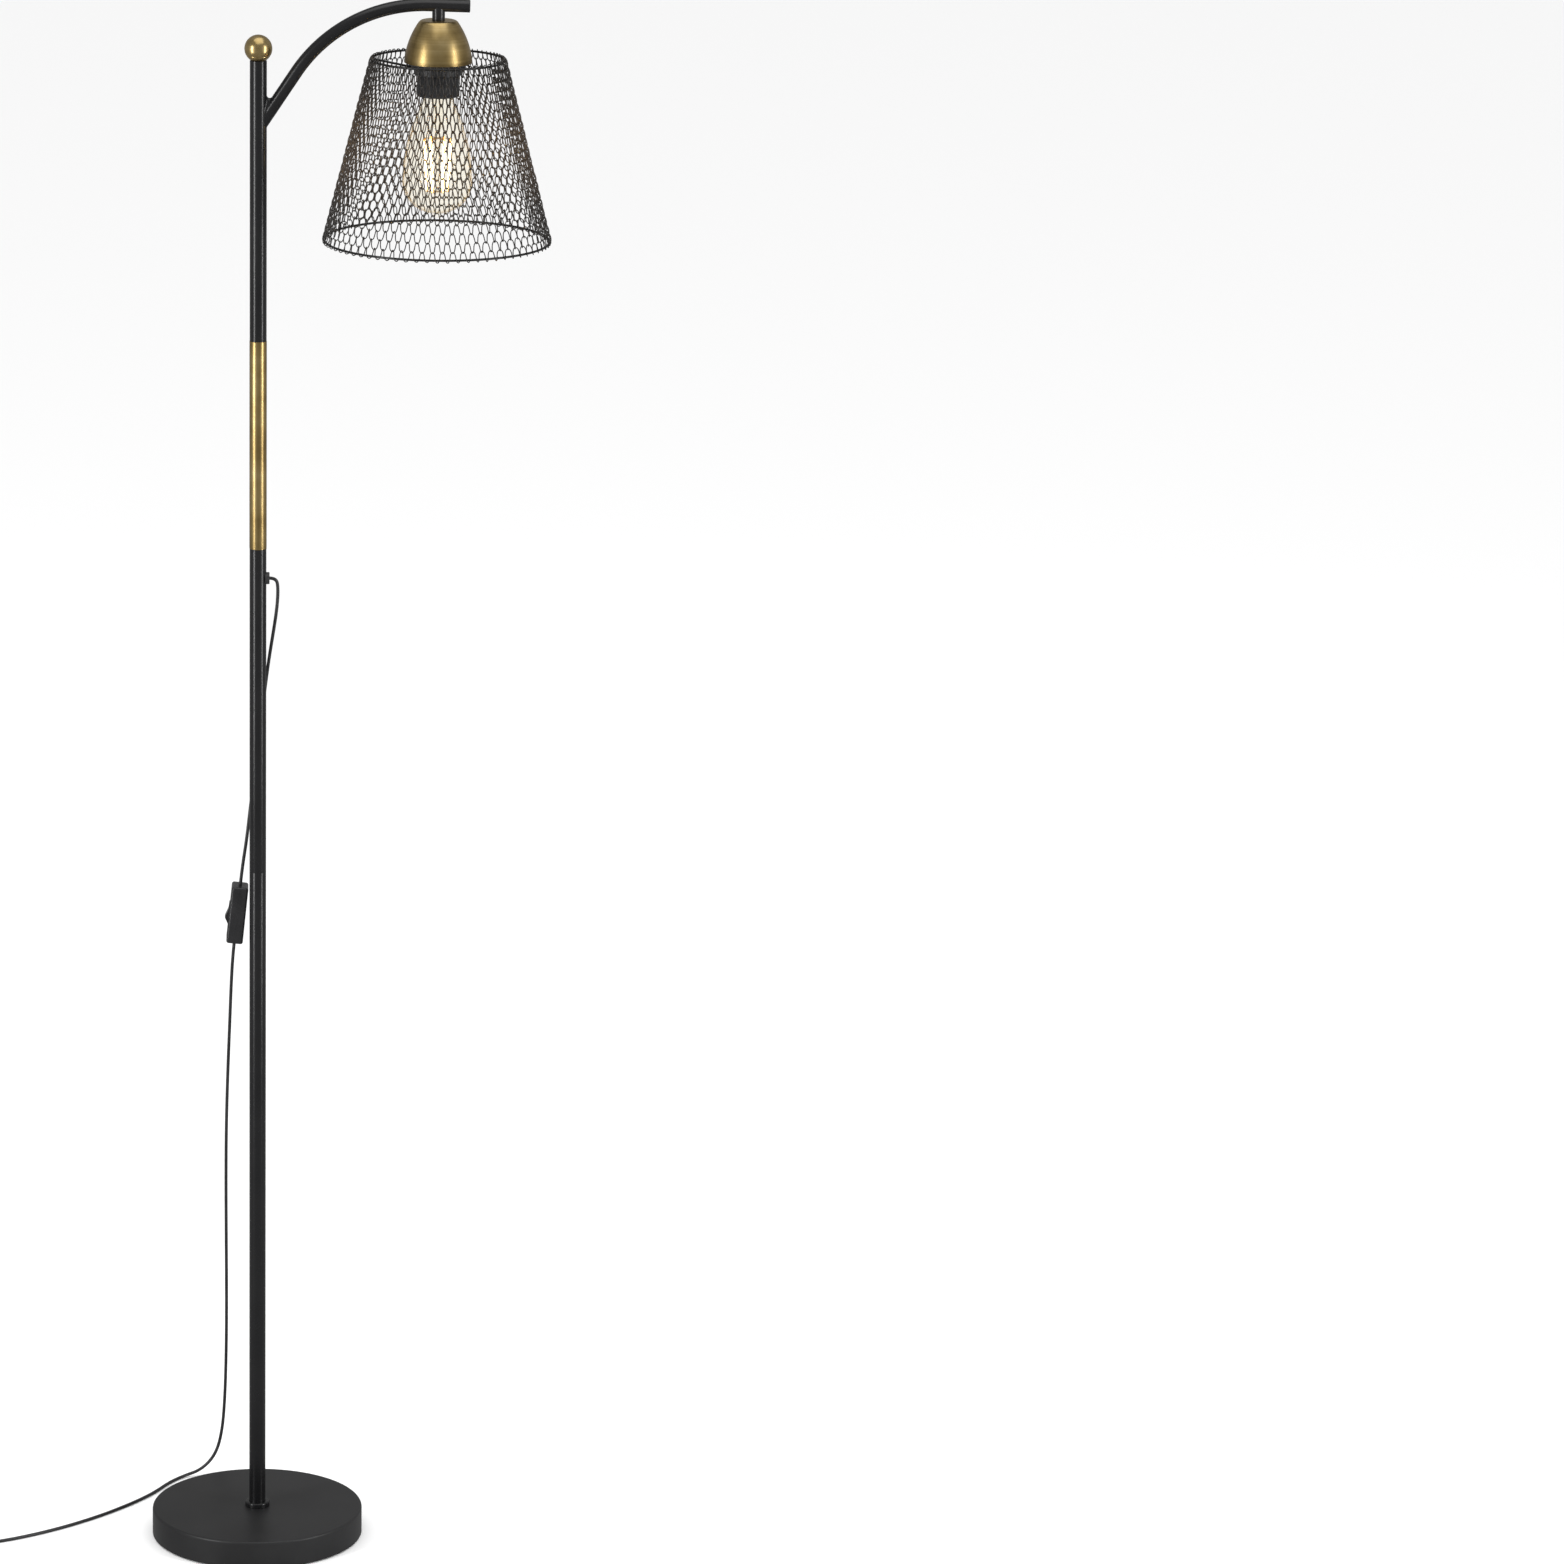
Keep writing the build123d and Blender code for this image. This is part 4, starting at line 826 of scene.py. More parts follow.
@dataclass
class Assembly:
    """A sub-assembly of the lamp, which adds its pieces to the scene."""

    finishes: Finishes

    def add(
        self, name: str, slot: str, finish: str, surface: Surface, node: str = "",
        body: str = "stand", sharp: float = 32.0, merge: bool = True,
    ) -> Object:
        """Puts a surface into the scene as an object.

        Args:
            name: the piece's name.
            slot: its material slot.
            finish: short name of its finish.
            surface: its points and faces.
            node: the solid that it stands for, if any.
            body: the body that it moves with.
            sharp: edges turned by more degrees than this stay sharp.
            merge: join the points that coincide and turn the faces outwards.

        Returns:
            The new object.
        """
        mesh = bpy.data.meshes.new(name)
        mesh.vertices.add(len(surface.verts))
        mesh.vertices.foreach_set("co", surface.verts.astype(np.float32).ravel())
        mesh.loops.add(surface.quads.size)
        mesh.loops.foreach_set("vertex_index", surface.quads.astype(np.int32).ravel())
        mesh.polygons.add(len(surface.quads))
        starts = np.arange(0, surface.quads.size, 4, dtype=np.int32)
        mesh.polygons.foreach_set("loop_start", starts)
        mesh.update(calc_edges=True)
        mesh.validate()
        if merge:
            work = bmesh.new()
            work.from_mesh(mesh)
            bmesh.ops.remove_doubles(work, verts=work.verts, dist=MERGE)
            bmesh.ops.recalc_face_normals(work, faces=work.faces)
            work.to_mesh(mesh)
            work.free()
        mesh.shade_smooth()
        mesh.set_sharp_from_angle(angle=math.radians(sharp))
        mesh.materials.append(self.finishes[finish])
        obj = placed(name, mesh)
        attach(obj, body)
        if node:
            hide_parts(node)
        LOG.info("%s: %d faces on %s", name, len(mesh.polygons), body)
        return obj


# ---- stand


@dataclass
class Base(Assembly):
    """Pressed steel cover over the weight, and the collar at the pole's foot."""

    edge: float = 0.0026
    wall: float = 0.0012
    bore: float = 0.0052
    hem: float = 0.0006
    inner_bend: float = 0.001
    flat_r: float = 0.02
    collar_bore: float = 0.00805
    collar_foot: float = 0.0003
    collar_top: float = 0.0016

    def build(self) -> None:
        """Turns the cover and the collar."""
        low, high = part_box("base_cover")
        r, z0, z1 = high[0], low[2], high[2]
        inner, under = r - self.wall, z1 - self.wall
        corners = [
            (self.bore, under), (inner - self.inner_bend, under), (inner, under - self.inner_bend),
            (inner, z0), (r, z0), (r, z0 + 0.001), (r, z1), (self.flat_r, z1), (self.bore, z1),
            (self.bore, under),
        ]
        profile = softened(corners, [0, 0, 0, 0, self.hem, 0, self.edge, 0, 0, 0], 9)[:-1]
        cover = turned(profile, sides=144, ring=True)
        self.add("base_cover_spun", "base_black", "base", cover, "base_cover")
        low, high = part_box("foot_collar")
        r, z0, z1, bore, foot = high[0], low[2], high[2], self.collar_bore, self.collar_foot
        corners = [(bore, z0), (r - foot, z0), (r, z0 + foot), (r, z1), (bore, z1), (bore, z0)]
        profile = softened(corners, [0, 0, 0, self.collar_top, self.collar_top / 4, 0], 7)[:-1]
        collar = turned(profile, sides=72, ring=True)
        self.add("foot_collar_turned", "black_steel", "pole", collar, "foot_collar")


@dataclass
class Pole(Assembly):
    """Four screwed sections of tube with a fine broken edge at each joint, and the ball."""

    bore: float = 0.0068
    break_edge: float = 0.0003
    top_edge: float = 0.0009
    inner_edge: float = 0.0002
    stud_r: float = 0.003
    groove_up: float = 0.0043
    groove_half: float = 0.00028
    groove_deep: float = 0.0003

    def section(self, node: str, top_round: float) -> Surface:
        """One length of tube, its ends slightly rounded.

        Args:
            node: the solid that gives its size.
            top_round: rounding of its upper edge.

        Returns:
            The tube.
        """
        low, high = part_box(node)
        r, z0, z1 = high[1], low[2], high[2]
        corners = [(self.bore, z0), (r, z0), (r, z1), (self.bore, z1), (self.bore, z0)]
        profile = softened(corners, [0, self.break_edge, top_round, self.inner_edge, 0])[:-1]
        return turned(profile, sides=64, ring=True)

    def build(self) -> None:
        """Turns the sections and the finial."""
        for node, slot, finish, top_round in (
            ("pole_lower", "black_steel", "pole", self.break_edge),
            ("pole_middle", "black_steel", "pole", self.break_edge),
            ("pole_brass", "brass", "collar", self.break_edge),
            ("pole_upper", "black_steel", "pole", self.top_edge),
        ):
            self.add(f"{node}_tube", slot, finish, self.section(node, top_round), node)
        ball = turned(self.ball_profile(), sides=96)
        self.add("finial_ball_turned", "brass", "ball", ball, "finial_ball")

    def ball_profile(self) -> Array:
        """The stud, then the ball: the root of R squared less height squared, less a groove.

        Returns:
            The profile's points, in order.
        """
        low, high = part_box("finial_ball")
        ball_r = high[1]
        centre_z = high[2] - ball_r
        seat_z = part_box("pole_upper")[1][2]
        height = np.linspace(seat_z - centre_z, 0.0, 60)[:-1]
        height = np.concatenate([height, ball_r * np.sin(np.linspace(0.0, np.pi / 2, 40))])
        radius = np.sqrt(np.maximum(ball_r**2 - height**2, 0.0))
        height += centre_z
        off = (height - seat_z - self.groove_up) / self.groove_half
        stud = np.array([(0.0, low[2]), (self.stud_r, low[2]), (self.stud_r, seat_z)])
        return np.vstack([stud, columns_of(radius - self.groove_deep * np.exp(-(off**2)), height)])


@dataclass
class Arm(Assembly):
    """Side arm: straight out of the pole, one bend, and a nearly level end."""

    root_z: float = 1.4005
    start: float = 0.002
    rise: float = 56.5
    straight: float = 0.064
    bend: float = 0.144
    droop: float = 1.2
    end_x: float = 0.196
    radius: float = 0.006

    def line(self, steps: int = 72) -> tuple[Array, Array]:
        """The arm's middle line: a straight, an arc and a straight.

        Args:
            steps: points along the arc.

        Returns:
            The points, and at each the direction to the arc's middle.
        """
        a, d = math.radians(self.rise), math.radians(self.droop)
        way = np.array([math.cos(a), 0.0, math.sin(a)])
        root = np.array([0.0, 0.0, self.root_z])
        start, bend_start = root + way * self.start, root + way * self.straight
        heart = bend_start + np.array([math.sin(a), 0.0, -math.cos(a)]) * self.bend
        turn = np.linspace(a, -d, steps)
        arc = heart + self.bend * columns_of(-np.sin(turn), 0 * turn, np.cos(turn))
        straight = start + (bend_start - start) * np.linspace(0, 1, 12)[:, None]
        run = np.array([1.0, 0.0, -math.tan(d)]) * (self.end_x - arc[-1][0])
        end = arc[-1] + run * np.linspace(0, 1, 10)[:, None]
        path = np.vstack([straight[:-1], arc, end[1:]])
        return path, heart - path

    def build(self) -> None:
        """Bends the tube."""
        arm = tube(*self.line(), self.radius, 40, False)
        self.add("arm_bent", "black_steel", "pole", arm, "arm_tube")


# ---- head


@dataclass
class Head(Assembly):
    """Brass cup, and the lamp holder's threaded sleeve."""

    wall: float = 0.0011
    cup_bore: float = 0.0062
    cup_top_r: float = 0.0172
    cup_top_edge: float = 0.002
    cup_mid_r: float = 0.0263
    cup_mid_drop: float = 0.0161
    cup_low_r: float = 0.0321
    sleeve_r: float = 0.01975
    sleeve_bore: float = 0.0182
    sleeve_foot: float = 0.0005
    flange_r: float = 0.0305
    flange_neck_r: float = 0.0255
    flange: float = 0.0031
    pitch: float = 0.00095
    thread: float = 0.00042
    thread_low: float = 0.0006
    thread_high: float = 0.0034
    thread_fade: float = 1e-9
    thread_points: int = 200

    def cup_profile(self) -> Array:
        """The cup's side is one arc through three radii, its inside the same arc set in.

        Returns:
            The profile's points, in order.
        """
        low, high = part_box("socket_cup")
        z0, z1 = low[2], high[2]
        middle = (self.cup_mid_r, z1 - self.cup_mid_drop)
        x, y, big = circle_through(np.array([(self.cup_top_r, z1), middle, (self.cup_low_r, z0)]))

        def arc(radius: float, height: Array) -> Array:
            """The arc of that radius at those heights."""
            return columns_of(x + np.sqrt(radius**2 - (height - y) ** 2), height)

        side = arc(big, np.linspace(z0, z1, 48))
        hem_out, side = side[0, 0], side[:-3]
        end = np.array([self.cup_top_r - self.cup_top_edge, z1])
        edge = rounding(side[-1], np.array([self.cup_top_r, z1]), end, 7)
        under = arc(big - self.wall, np.linspace(z1 - self.wall, z0, 32))
        hem = [((under[-1, 0] + hem_out) / 2, z0)]
        bore = [(self.cup_bore, z1), (self.cup_bore, z1 - self.wall)]
        return np.vstack([side, edge[1:], bore, under[:-1], hem])

    def sleeve_profile(self) -> Array:
        """Flange above, threaded sleeve below, as one closed outline.

        Returns:
            The profile's points, in order.
        """
        low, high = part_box("holder_skirt")
        z0, z1 = low[2], high[2]
        height = np.linspace(z0 + self.sleeve_foot, z1 - self.flange, self.thread_points)
        r, bore = self.flange_r, self.sleeve_bore
        rest = [
            (self.flange_neck_r, height[-1]), (r - 0.0005, z1 - 0.0012), (r, z1 - 0.0008),
            (r, z1 - 0.0002), (r - 0.0002, z1), (bore, z1), (bore, z0), (self.sleeve_r - 0.0003, z0),
        ]
        return np.vstack([columns_of(np.full_like(height, self.sleeve_r), height), rest])

    def build(self) -> None:
        """Turns the cup and the sleeve."""
        centre = (HEAD_X, 0.0, 0.0)
        cup = turned(self.cup_profile(), centre, 128, ring=True)
        self.add("cup_spun", "brass", "cup", cup, "socket_cup")
        low, high = (corner[2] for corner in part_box("holder_skirt"))
        thread = Thread(self.pitch, self.thread, low, low + self.thread_low,
                        high - self.thread_high, self.thread_fade, self.thread_points)
        sleeve = turned(self.sleeve_profile(), centre, 72, ring=True, swell=thread.swell)
        self.add("holder_sleeve", "phenolic", "phenolic", sleeve, "holder_skirt", sharp=60.0)


# ---- shade


@dataclass
class KnitShade(Assembly):
    """Conical wall of wire loops, row by row, hooked into one another and over both rims."""

    loops: int = 69
    rows: int = 21
    wire: float = 0.00052
    rim_wire: float = 0.0011
    steps: int = 14
    sides: int = 5
    depth: float = 0.00165
    hook: float = 0.0007
    lean: float = 0.04375
    over_rim: float = 0.0022
    tuck: float = 0.00125
    spread: Point = (0.00016, 0.00014, 0.035)
    seed: int = 11
    rows_per_piece: int = 7

    def rims(self) -> tuple[float, float, float, float]:
        """Radius and height of the top and the bottom rim's wire.

        Returns:
            Those four lengths.
        """
        top_low, top_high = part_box("shade_top_ring")
        low_low, low_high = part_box("shade_bottom_ring")
        half = (top_high[2] - top_low[2]) / 2
        return (
            top_high[1] - half, (top_high[2] + top_low[2]) / 2,
            low_high[1] - half - self.tuck, (low_high[2] + low_low[2]) / 2,
        )

    def row_path(
        self, row: int, pitch: float, swing: float, noise: Array
    ) -> tuple[Array, Array]:
        """Middle line of one row.

        The row is a coil that lies on the cone: along the slope it swings as a cosine, through
        the wall as a sine, once for each loop, while it goes round once in all. Every other
        row starts half a loop later, so that its crests meet the troughs of the row above.

        Args:
            row: number of the row, from the top.
            pitch: distance between rows along the slope.
            swing: half a loop's height along the slope.
            noise: this row's small departures for each loop, three columns.

        Returns:
            The points, and at each the direction towards the coil's own middle line.
        """
        r_top, z_top, r_low, z_low = self.rims()
        slope = math.hypot(r_low - r_top, z_top - z_low)
        down_r, down_z = (r_low - r_top) / slope, (z_low - z_top) / slope
        t = np.arange(self.loops * self.steps) / self.steps
        loop = t.astype(int)
        ease = ((1 - np.cos(np.pi * (t - loop))) / 2)[:, None]
        jitter = noise[loop] * (1 - ease) + noise[(loop + 1) % self.loops] * ease
        phase = 2 * np.pi * t
        along = np.cos(phase) * (swing + jitter[:, 0])
        through = np.sin(phase) * (self.depth + jitter[:, 1])
        turns = t + row % 2 / 2 + self.lean * np.sin(2 * phase) + jitter[:, 2]
        angle = 2 * np.pi * turns / self.loops
        s = swing - self.over_rim + row * pitch - along

        def spun(radius: Array, height: Array) -> Array:
            """Points at those radii and heights, each at its own angle."""
            return columns_of(radius * np.cos(angle), radius * np.sin(angle), height)

        path = spun(r_top + down_r * s - down_z * through, z_top + down_z * s + down_r * through)
        inward = spun(down_r * along + down_z * through, down_z * along - down_r * through)
        return path + (HEAD_X, 0.0, 0.0), inward

    def build(self) -> None:
        """Knits the rows and hangs them between the rims."""
        r_top, z_top, r_low, z_low = self.rims()
        slope = math.hypot(r_low - r_top, z_top - z_low)
        pitch = (slope + 2 * self.over_rim - 2 * self.hook) / self.rows
        rng = np.random.default_rng(self.seed)
        knit: list[Surface] = []
        for row in range(self.rows):
            noise = rng.normal(0.0, 1.0, (self.loops, 3)) * np.array(self.spread)
            line = self.row_path(row, pitch, pitch / 2 + self.hook, noise)
            knit.append(tube(*line, self.wire, self.sides, True))
        for first in range(0, self.rows, self.rows_per_piece):
            last = min(first + self.rows_per_piece, self.rows)
            self.add(f"knit_rows_{first + 1}_to_{last}", "knit_wire", "wire", join(knit[first:last]),
                     "" if first else "shade_knit", "shade", 180.0, merge=False)
        for name, node, radius, height in (
            ("rim_top_wire", "shade_top_ring", r_top, z_top),
            ("rim_bottom_wire", "shade_bottom_ring", r_low, z_low),
        ):
            section = ellipse(radius, height, self.rim_wire, self.rim_wire, around(24))
            ring = turned(section, (HEAD_X, 0, 0), 192, ring=True)
            self.add(name, "shade_black", "rim", ring, node, "shade", 180.0)


# ---- bulb


@dataclass
class Bulb(Assembly):
    """Pear-shaped clear bulb with upright lit strips and a rolled screw cap."""

    wide_r: float = 0.033
    dome_h: float = 0.030
    dome_lift: float = 0.004
    neck_r: float = 0.0126
    waist_r: float = 0.045
    wall: float = 0.0009
    pip_r: float = 0.004176
    pip_h: float = 0.0038
    pip_reach: float = 0.008
    strips: int = 6
    strip_points: int = 14
    strip_top_r: float = 0.0124
    strip_low_r: float = 0.0098
    strip_r: float = 0.0009
    cap_pitch: float = 0.003629
    cap_depth: float = 0.0007
    cap_fade: float = 0.002
    cap_shoulder: float = 0.0024
    cap_top_r: float = 0.011
    cap_bore: float = 0.0103
    cap_wall: float = 0.0012
    cap_lip: float = 0.003
    cap_hem: float = 0.0003
    cap_points: int = 90

    def levels(self) -> tuple[float, float]:
        """Heights of the widest place and of the neck."""
        low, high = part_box("bulb_glass")
        return low[2] + self.dome_lift + self.dome_h, high[2]

    def outline(self, inset: float) -> Array:
        """Half outline from the round end up: part of an ellipse, then two arcs of the side.

        Args:
            inset: how far inside the glass's outside it runs.

        Returns:
            Radii and heights.
        """
        wide, neck = self.levels()
        rise, swell = neck - wide, self.wide_r - self.neck_r
        total = (rise**2 + swell**2) / (2 * swell)
        turn = math.asin(rise / total)
        belly, waist = total - self.waist_r - inset, -(self.waist_r + inset)
        dome = ellipse(0.0, wide, self.wide_r - inset, self.dome_h - inset,
                       np.linspace(-np.pi / 2, 0.0, 26)[:-1])
        side = ellipse(self.wide_r - belly - inset, wide, belly, belly, np.linspace(0.0, turn, 26))
        rest = ellipse(self.neck_r + self.waist_r, neck, waist, waist, np.linspace(turn, 0.0, 12)[1:])
        return np.vstack([dome, side, rest])

    def shell(self) -> Array:
        """The glass with its sealed pip below, outside upwards and inside back down.

        Returns:
            The profile's points, in order.
        """
        fine = np.linspace(0.0, self.pip_reach, 22)[:-1]
        under = self.levels()[0] - self.dome_h * np.sqrt(1 - (fine / self.wide_r) ** 2)
        under -= self.pip_h * np.exp(-((fine / self.pip_r) ** 4))
        outside = self.outline(0.0)
        outside = outside[outside[:, 0] > self.pip_reach]
        return np.vstack([columns_of(fine, under), outside, self.outline(self.wall)[::-1]])

    def strip(self, number: int, low_z: float, high_z: float) -> Surface:
        """One lit strip: a round rod with domed ends, leaning in downwards.

        Args:
            number: which strip.
            low_z: height of its lower end.
            high_z: height of its upper end.

        Returns:
            The rod.
        """
        angle = 2 * math.pi * number / self.strips
        out = np.array([math.cos(angle), math.sin(angle), 0.0])
        share = np.linspace(0.0, 1.0, self.strip_points)
        radius = self.strip_low_r + (self.strip_top_r - self.strip_low_r) * share
        path = out * radius[:, None] + (HEAD_X, 0.0, low_z)
        path[:, 2] += (high_z - low_z) * share
        thick = np.clip(np.minimum(share, 1 - share) * self.strip_points + 0.55, 0.0, 1.0)
        return tube(path, np.tile(out, (self.strip_points, 1)), self.strip_r * thick, 12, False)

    def build(self) -> None:
        """Blows the glass, sets the strips and rolls the cap."""
        centre = (HEAD_X, 0.0, 0.0)
        glass = turned(self.shell(), centre, 96)
        self.add("bulb_blown", "bulb_glass", "glass", glass, "bulb_glass", "bulb", 80.0)
        low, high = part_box("bulb_filaments")
        strips = join(self.strip(i, low[2], high[2]) for i in range(self.strips))
        self.add("bulb_lit_strips", "filament", "glow", strips, "bulb_filaments", "bulb", 80.0)
        low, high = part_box("bulb_cap")
        r, z0, z1 = high[1], low[2], high[2]
        height = np.linspace(z0, z1 - self.cap_shoulder, self.cap_points)
        inner, hem, lip = r - self.cap_wall, r - self.cap_hem, self.cap_lip
        shoulder = [
            (self.cap_top_r, z1), (self.cap_bore, z1), (inner, z1 - lip), (inner, z0 + lip),
            (hem, z0 + lip), (hem, z0),
        ]
        profile = np.vstack([columns_of(np.full_like(height, r), height), shoulder])
        fade = self.cap_fade
        thread = Thread(self.cap_pitch, self.cap_depth, z0, z0, z1 - fade, fade, self.cap_points)
        cap = turned(profile, centre, 72, ring=True, swell=thread.swell)
        self.add("bulb_cap_rolled", "cap_metal", "cap", cap, "bulb_cap", "bulb", 50.0)


# ---- cord, switch and plug


@dataclass
class Cords(Assembly):
    """The mains cord: from the outlet to the switch, and on to the plug."""

    diameter: float = 0.0032
    lay_z: float = 0.0017
    coil_mean: float = 0.0182
    coil_pitch: float = 0.00365
    turns_low: float = 3.0
    turns_climb: float = 0.5
    turns_top: float = 2.5
    per_turn: int = 16
    lead_in: float = 0.0064
    tail: float = 0.012

    def upper_points(self) -> list[Point]:
        """Route from the outlet to the switch.

        Returns:
            The route's points, in order.
        """
        return [
            OUTLET, (0.0176, 0, 0.968), (0.0192, 0.001, 0.9575), (0.0182, 0.0026, 0.939),
            (0.0152, 0.0056, 0.917), (0.011, 0.0096, 0.890), (0.0068, 0.0132, 0.857),
            (0.0026, 0.0156, 0.819), (-0.0022, 0.0166, 0.780), (-0.0068, 0.0164, 0.741),
            (-0.0106, 0.0161, 0.706), (-0.015167, 0.016, 0.675916), (-0.017209, 0.016, 0.656022),
        ]

    def lower_points(self) -> list[Point]:
        """Route from the switch down, across the floor and out of view.

        Returns:
            The route's points, in order.
        """
        low = self.lay_z
        return [
            SWITCH_FOOT, (-0.024029, 0.016, 0.589572), (-0.0256, 0.019, 0.561),
            (-0.0272, 0.0245, 0.516), (-0.0292, 0.0325, 0.462), (-0.0306, 0.0425, 0.407),
            (-0.031, 0.055, 0.352), (-0.0309, 0.0695, 0.297), (-0.0307, 0.0855, 0.242),
            (-0.0307, 0.1025, 0.188), (-0.0313, 0.120, 0.137), (-0.0326, 0.1365, 0.091),
            (-0.0352, 0.149, 0.052), (-0.0415, 0.1556, 0.024), (-0.056, 0.1575, 0.0065),
            (-0.074, 0.1525, low), (-0.0885, 0.134, low), (-0.103, 0.105, low),
            (-0.126, 0.074, low), (-0.158, 0.039, low), (-0.199, 0.0045, low),
            (-0.243, -0.0225, low), (-0.282, -0.036, low), (-0.302, -0.0415, low),
        ]

    def coil_points(self) -> list[Point]:
        """The put-away coil, in on the floor, up on the inside and out again on top.

        Returns:
            The route's points, in order.
        """
        *_, before, start = (np.array(p, dtype=float) for p in self.lower_points())
        heading = (start - before) / np.linalg.norm(start - before)
        first = math.atan2(heading[1], heading[0]) - math.pi / 2
        aside = np.array([math.cos(first), math.sin(first), 0.0])
        out_r = self.coil_mean + self.coil_pitch * self.turns_low / 2
        entry = start + heading * self.lead_in
        heart = entry - aside * out_r
        total = self.turns_low + self.turns_climb + self.turns_top
        turns = (np.arange(round(total * self.per_turn)) + 0.5) / self.per_turn
        climbed = np.clip(turns - self.turns_low, 0, self.turns_climb) / self.turns_climb
        inward = np.minimum(turns, self.turns_low)
        outward = np.maximum(turns - self.turns_low - self.turns_climb, 0)
        grow = 1 / math.cos(math.pi / self.per_turn)
        radius = (out_r + self.coil_pitch * (outward - inward)) * grow
        angle = first + 2 * np.pi * turns
        rise = self.coil_pitch * (1 - np.cos(np.pi * climbed)) / 2
        ring = columns_of(radius * np.cos(angle), radius * np.sin(angle), rise) + heart
        leave = heart + aside * (out_r + self.coil_pitch * (self.turns_top - self.turns_low))
        leave[2] = start[2] + self.coil_pitch
        return [tuple(p) for p in (entry, *ring, leave, leave + heading * self.tail)]

    def strand(self, name: str, points: Sequence[Point]) -> Object:
        """A cord as one smooth spline.

        Args:
            name: the piece's name.
            points: its route; the spline keeps close to them and starts and ends on them.

        Returns:
            The cord.
        """
        curve = bpy.data.curves.new(name, "CURVE")
        curve.dimensions = "3D"
        curve.bevel_depth = self.diameter / 2
        curve.bevel_resolution = 5
        curve.resolution_u = 8
        curve.use_fill_caps = True
        spline = curve.splines.new("NURBS")
        spline.points.add(len(points) - 1)
        for knot, place in zip(spline.points, points):
            knot.co = (*place, 1.0)
        spline.order_u = 3
        spline.use_endpoint_u = True
        curve.materials.append(self.finishes["sheath"])
        cord = placed(name, curve)
        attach(cord, "stand")
        LOG.info("%s: %d points", name, len(points))
        return cord

    def build(self, fittings: list[Object], plug: list[Object]) -> None:
        """Lays both lengths.

        Args:
            fittings: the switch's pieces; not used.
            plug: the plug's pieces; not used.
        """
        upper = self.strand("cord_to_switch", self.upper_points())
        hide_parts("cord_upper")
        lower = self.strand("cord_to_plug", self.lower_points() + self.coil_points())
        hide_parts("cord_lower", "cord_coil")


@dataclass
class Switch(Assembly):
    """Raised panel on each flat side of the inline switch."""

    middle: Point = (-0.0197, 0.016, 0.63175)
    tilt: float = 5.86
    half_thick: float = 0.008
    half_long: float = 0.0165
    half_wide: float = 0.0058
    proud: float = 0.0004
    shift: float = -0.0022

    def panel(self, way: float) -> Surface:
        """A soft rectangle that stands out of the side face, with a rounded edge.

        Args:
            way: -1 for the front and 1 for the back.

        Returns:
            The panel.
        """
        a = math.radians(self.tilt)
        along = np.array([math.sin(a), 0.0, math.cos(a)])
        out = np.array([-math.cos(a), 0.0, math.sin(a)])
        t = np.linspace(0.0, np.pi / 2, 6)
        wide = self.half_wide
        inset = np.concatenate([[wide, 0.0], self.proud * (1 - np.cos(t)), [wide * 0.6, wide]])
        rise = self.proud * np.concatenate([[-1.0, -1.0], np.sin(t), [1.0, 1.0]])
        halves = columns_of(self.half_long - inset, wide - inset)
        halves[[0, -1]] = 0.0
        upright = np.array([0.0, way, 0.0])
        face = np.array(self.middle) + out * self.shift + upright * self.half_thick
        centre = face + rise[:, None] * upright
        return lofted(centre, np.stack([along, out]), halves, np.full(len(rise), 6.0), 64)

    def build(self) -> list[Object]:
        """Sets a panel into each side.

        Returns:
            The objects made.
        """
        return [
            self.add(name, "switch_plastic", "plug", self.panel(way))
            for name, way in (("switch_panel_front", -1.0), ("switch_panel_back", 1.0))
        ]


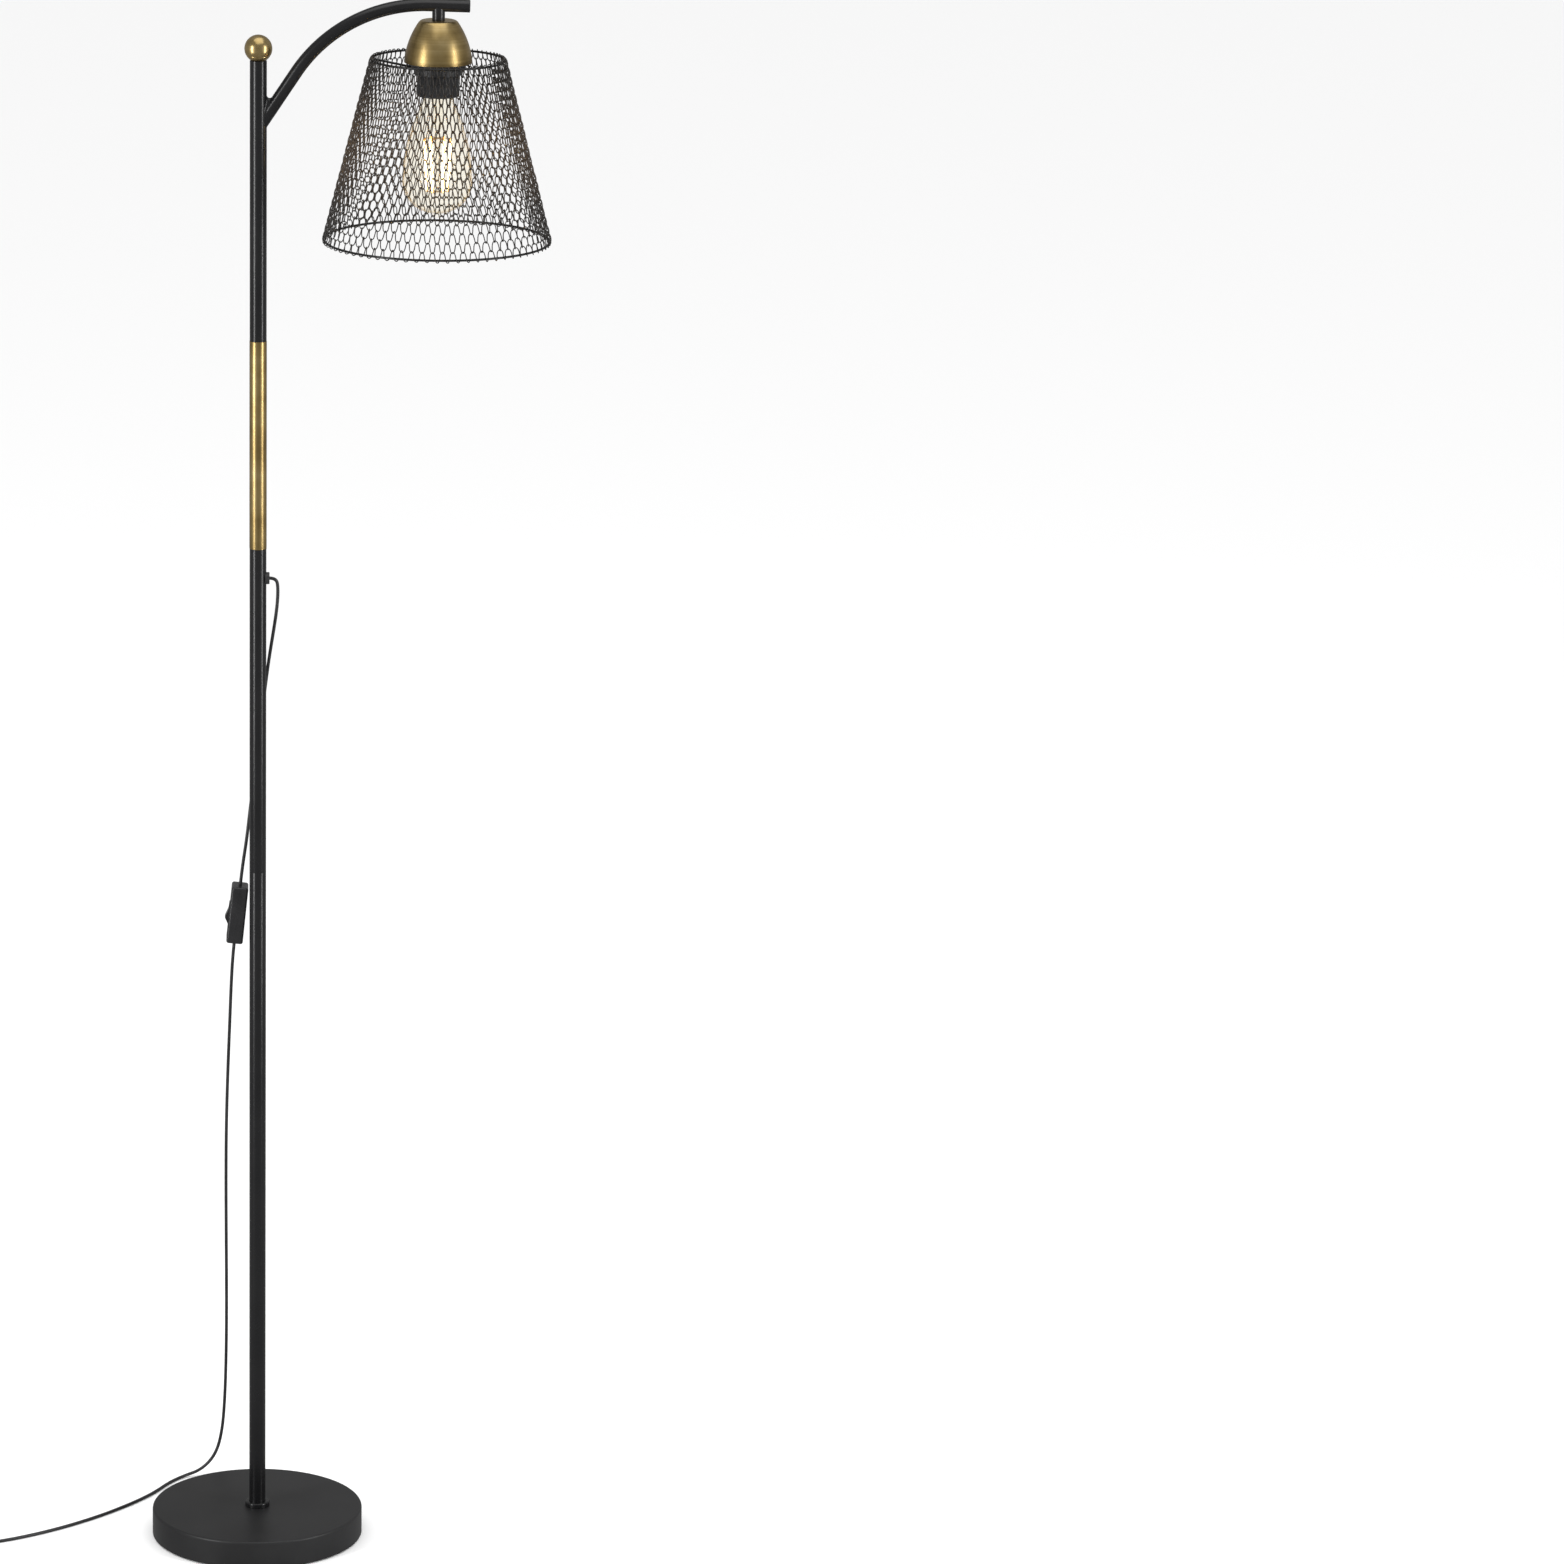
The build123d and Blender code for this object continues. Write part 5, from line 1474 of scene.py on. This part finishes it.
@dataclass
class Plug(Assembly):
    """Moulded plug with a ribbed strain relief, lying on the coil."""

    relief: float = 0.024
    long: float = 0.028
    wide: float = 0.024
    high: float = 0.0106
    thin: float = 0.0022
    thick: float = 0.0037
    ribs: int = 6
    rib_depth: float = 0.00055
    edge: float = 0.0016
    shoulder: float = 0.4

    def build(self, cords: Cords) -> Object:
        """Lofts relief and body from round to soft rectangle along the cord's last direction.

        Args:
            cords: the cord that it ends.

        Returns:
            The plug.
        """
        before, tip = (np.array(p, dtype=float) for p in cords.coil_points()[-2:])
        ahead = (tip - before) / np.linalg.norm(tip - before)
        up = np.array([0.0, 0.0, 1.0])
        s = np.linspace(0.0, self.relief, 97)
        wave = np.cos(2 * np.pi * self.ribs * s / self.relief)
        groove = self.rib_depth * np.clip(wave * 3 - 1.4, 0, 1)
        cone = self.thin + (self.thick - self.thin) * s / self.relief - groove
        t = np.linspace(0.0, np.pi / 2, 8)
        shoulder = self.long * self.shoulder
        body_s = self.relief + np.concatenate([
            [0.0001], shoulder * np.linspace(0.06, 1, 10), self.long - self.edge + self.edge * np.sin(t),
        ])
        swell = np.clip((body_s - self.relief) / shoulder, 0, 1)
        swell = swell * swell * (3 - 2 * swell)
        drop = np.concatenate([np.zeros(11), self.edge * (1 - np.cos(t))])
        body = columns_of(
            self.wide / 2 * (0.5 + 0.5 * swell) - drop, self.high / 2 * (0.8 + 0.2 * swell) - drop
        )
        along = np.concatenate([[0.0], s, body_s, [self.relief + self.long]])
        halves = np.vstack([[[0.0, 0.0]], columns_of(cone, cone), body, [[0.0, 0.0]]])
        power = np.concatenate([np.full(98, 2.0), 3.0 + 2.0 * swell, [5.0]])
        centre = tip + ahead * along[:, None]
        shape = lofted(centre, np.stack([np.cross(ahead, up), up]), halves, power, 64)
        return self.add("plug_moulded", "plug_plastic", "plug", shape, "plug_body")


# ---- studio


@dataclass
class Studio:
    """Pale floor, soft light and the camera of the photograph."""

    distance: float = 6.3857
    height: float = 2.4573
    pitch: float = 14.7797
    yaw: float = 4.5224
    roll: float = 1.1966
    focal_pixels: float = 6855.0
    frame_pixels: float = 1564.0
    sensor: float = 36.0
    room: float = 1.06
    mirrored: float = 0.3
    floor_half: float = 30.0

    def camera(self) -> None:
        """Sets the camera by its heading, tilt and roll."""
        right, forward, up = np.eye(3)
        forward, right = swung(forward, right, self.yaw)
        up, forward = swung(up, forward, self.pitch)
        right, up = swung(right, up, self.roll)
        data = bpy.data.cameras.new("camera")
        data.sensor_width = self.sensor
        data.lens = self.sensor * self.focal_pixels / self.frame_pixels
        data.clip_end = 60.0
        eye = placed("camera", data, (right, up, -forward), (0.0, -self.distance, self.height))
        bpy.context.scene.camera = eye

    def floor(self) -> None:
        """A pale floor, flat under the lamp."""
        data = bpy.data.meshes.new("floor")
        half = self.floor_half
        corners = [(-half, -half, 0.0), (half, -half, 0.0), (half, half, 0.0), (-half, half, 0.0)]
        data.from_pydata(corners, [], [(0, 1, 2, 3)])
        s = Shader("pale floor")
        data.materials.append(s.solid({"Base Color": (0.93, 0.93, 0.93), "Roughness": 0.75}))
        floor = placed("floor", data)
        floor.visible_glossy = False

    def lamp(self, name: str, place: Point, aim: Point, size: Point, power: float) -> None:
        """One soft box of light.

        Args:
            name: its name.
            place: where it stands.
            aim: the point that it is turned towards.
            size: its width and height.
            power: its power in watts.
        """
        data = bpy.data.lights.new(name, "AREA")
        data.shape = "RECTANGLE"
        data.size, data.size_y = size
        data.energy = power
        back = np.subtract(place, aim)
        back = back / np.linalg.norm(back)
        side = np.cross((0.0, 0.0, 1.0), back)
        side /= np.linalg.norm(side)
        placed(name, data, (side, np.cross(back, side), back), place)

    def light(self) -> None:
        """Two tall boxes for the streaks on the tubes, a top box, and a pale surround."""
        self.lamp("tall box left", (-2.6, -1.9, 1.2), (0, 0, 0.9), (0.45, 2.8), 60.0)
        self.lamp("tall box right", (2.8, -1.6, 1.2), (0, 0, 0.9), (0.4, 2.8), 45.0)
        self.lamp("top box", (0.2, -0.6, 4.2), (0, 0, 0.3), (3.0, 3.0), 40.0)
        s = Shader("surround", surround=True)
        room, mirrored = (
            s.node("ShaderNodeBackground", {}, {0: (1.0, 1.0, 1.0), 1: strength}).outputs[0]
            for strength in (self.room, self.mirrored)
        )
        glossy = s.node("ShaderNodeLightPath").outputs["Is Glossy Ray"]
        mix = s.node("ShaderNodeMixShader", {}, {0: glossy, 1: room, 2: mirrored})
        bpy.context.scene.world = s.finish(mix.outputs[0])
        bpy.context.scene.view_settings.view_transform = "Standard"

    def build(self) -> None:
        """Sets the studio up."""
        self.camera()
        self.floor()
        self.light()


def main() -> None:
    """Builds the studio and every sub-assembly, and reports each piece."""
    logging.basicConfig(level=logging.INFO, format="%(name)s: %(message)s")
    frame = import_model()
    nodes = frame["nodes"]
    Studio().build()
    finishes = Finishes()
    finishes.dress(nodes)
    for part in (Base, Pole, Arm, Head, KnitShade, Bulb):
        part(finishes).build()
    cords = Cords(finishes)
    fittings = [nodes[n] for n in ("switch_front", "switch_back", "switch_rocker")]
    fittings += Switch(finishes).build()
    cords.build(fittings, [Plug(finishes).build(cords), nodes["plug_blades"]])


if __name__ == "__main__":
    main()
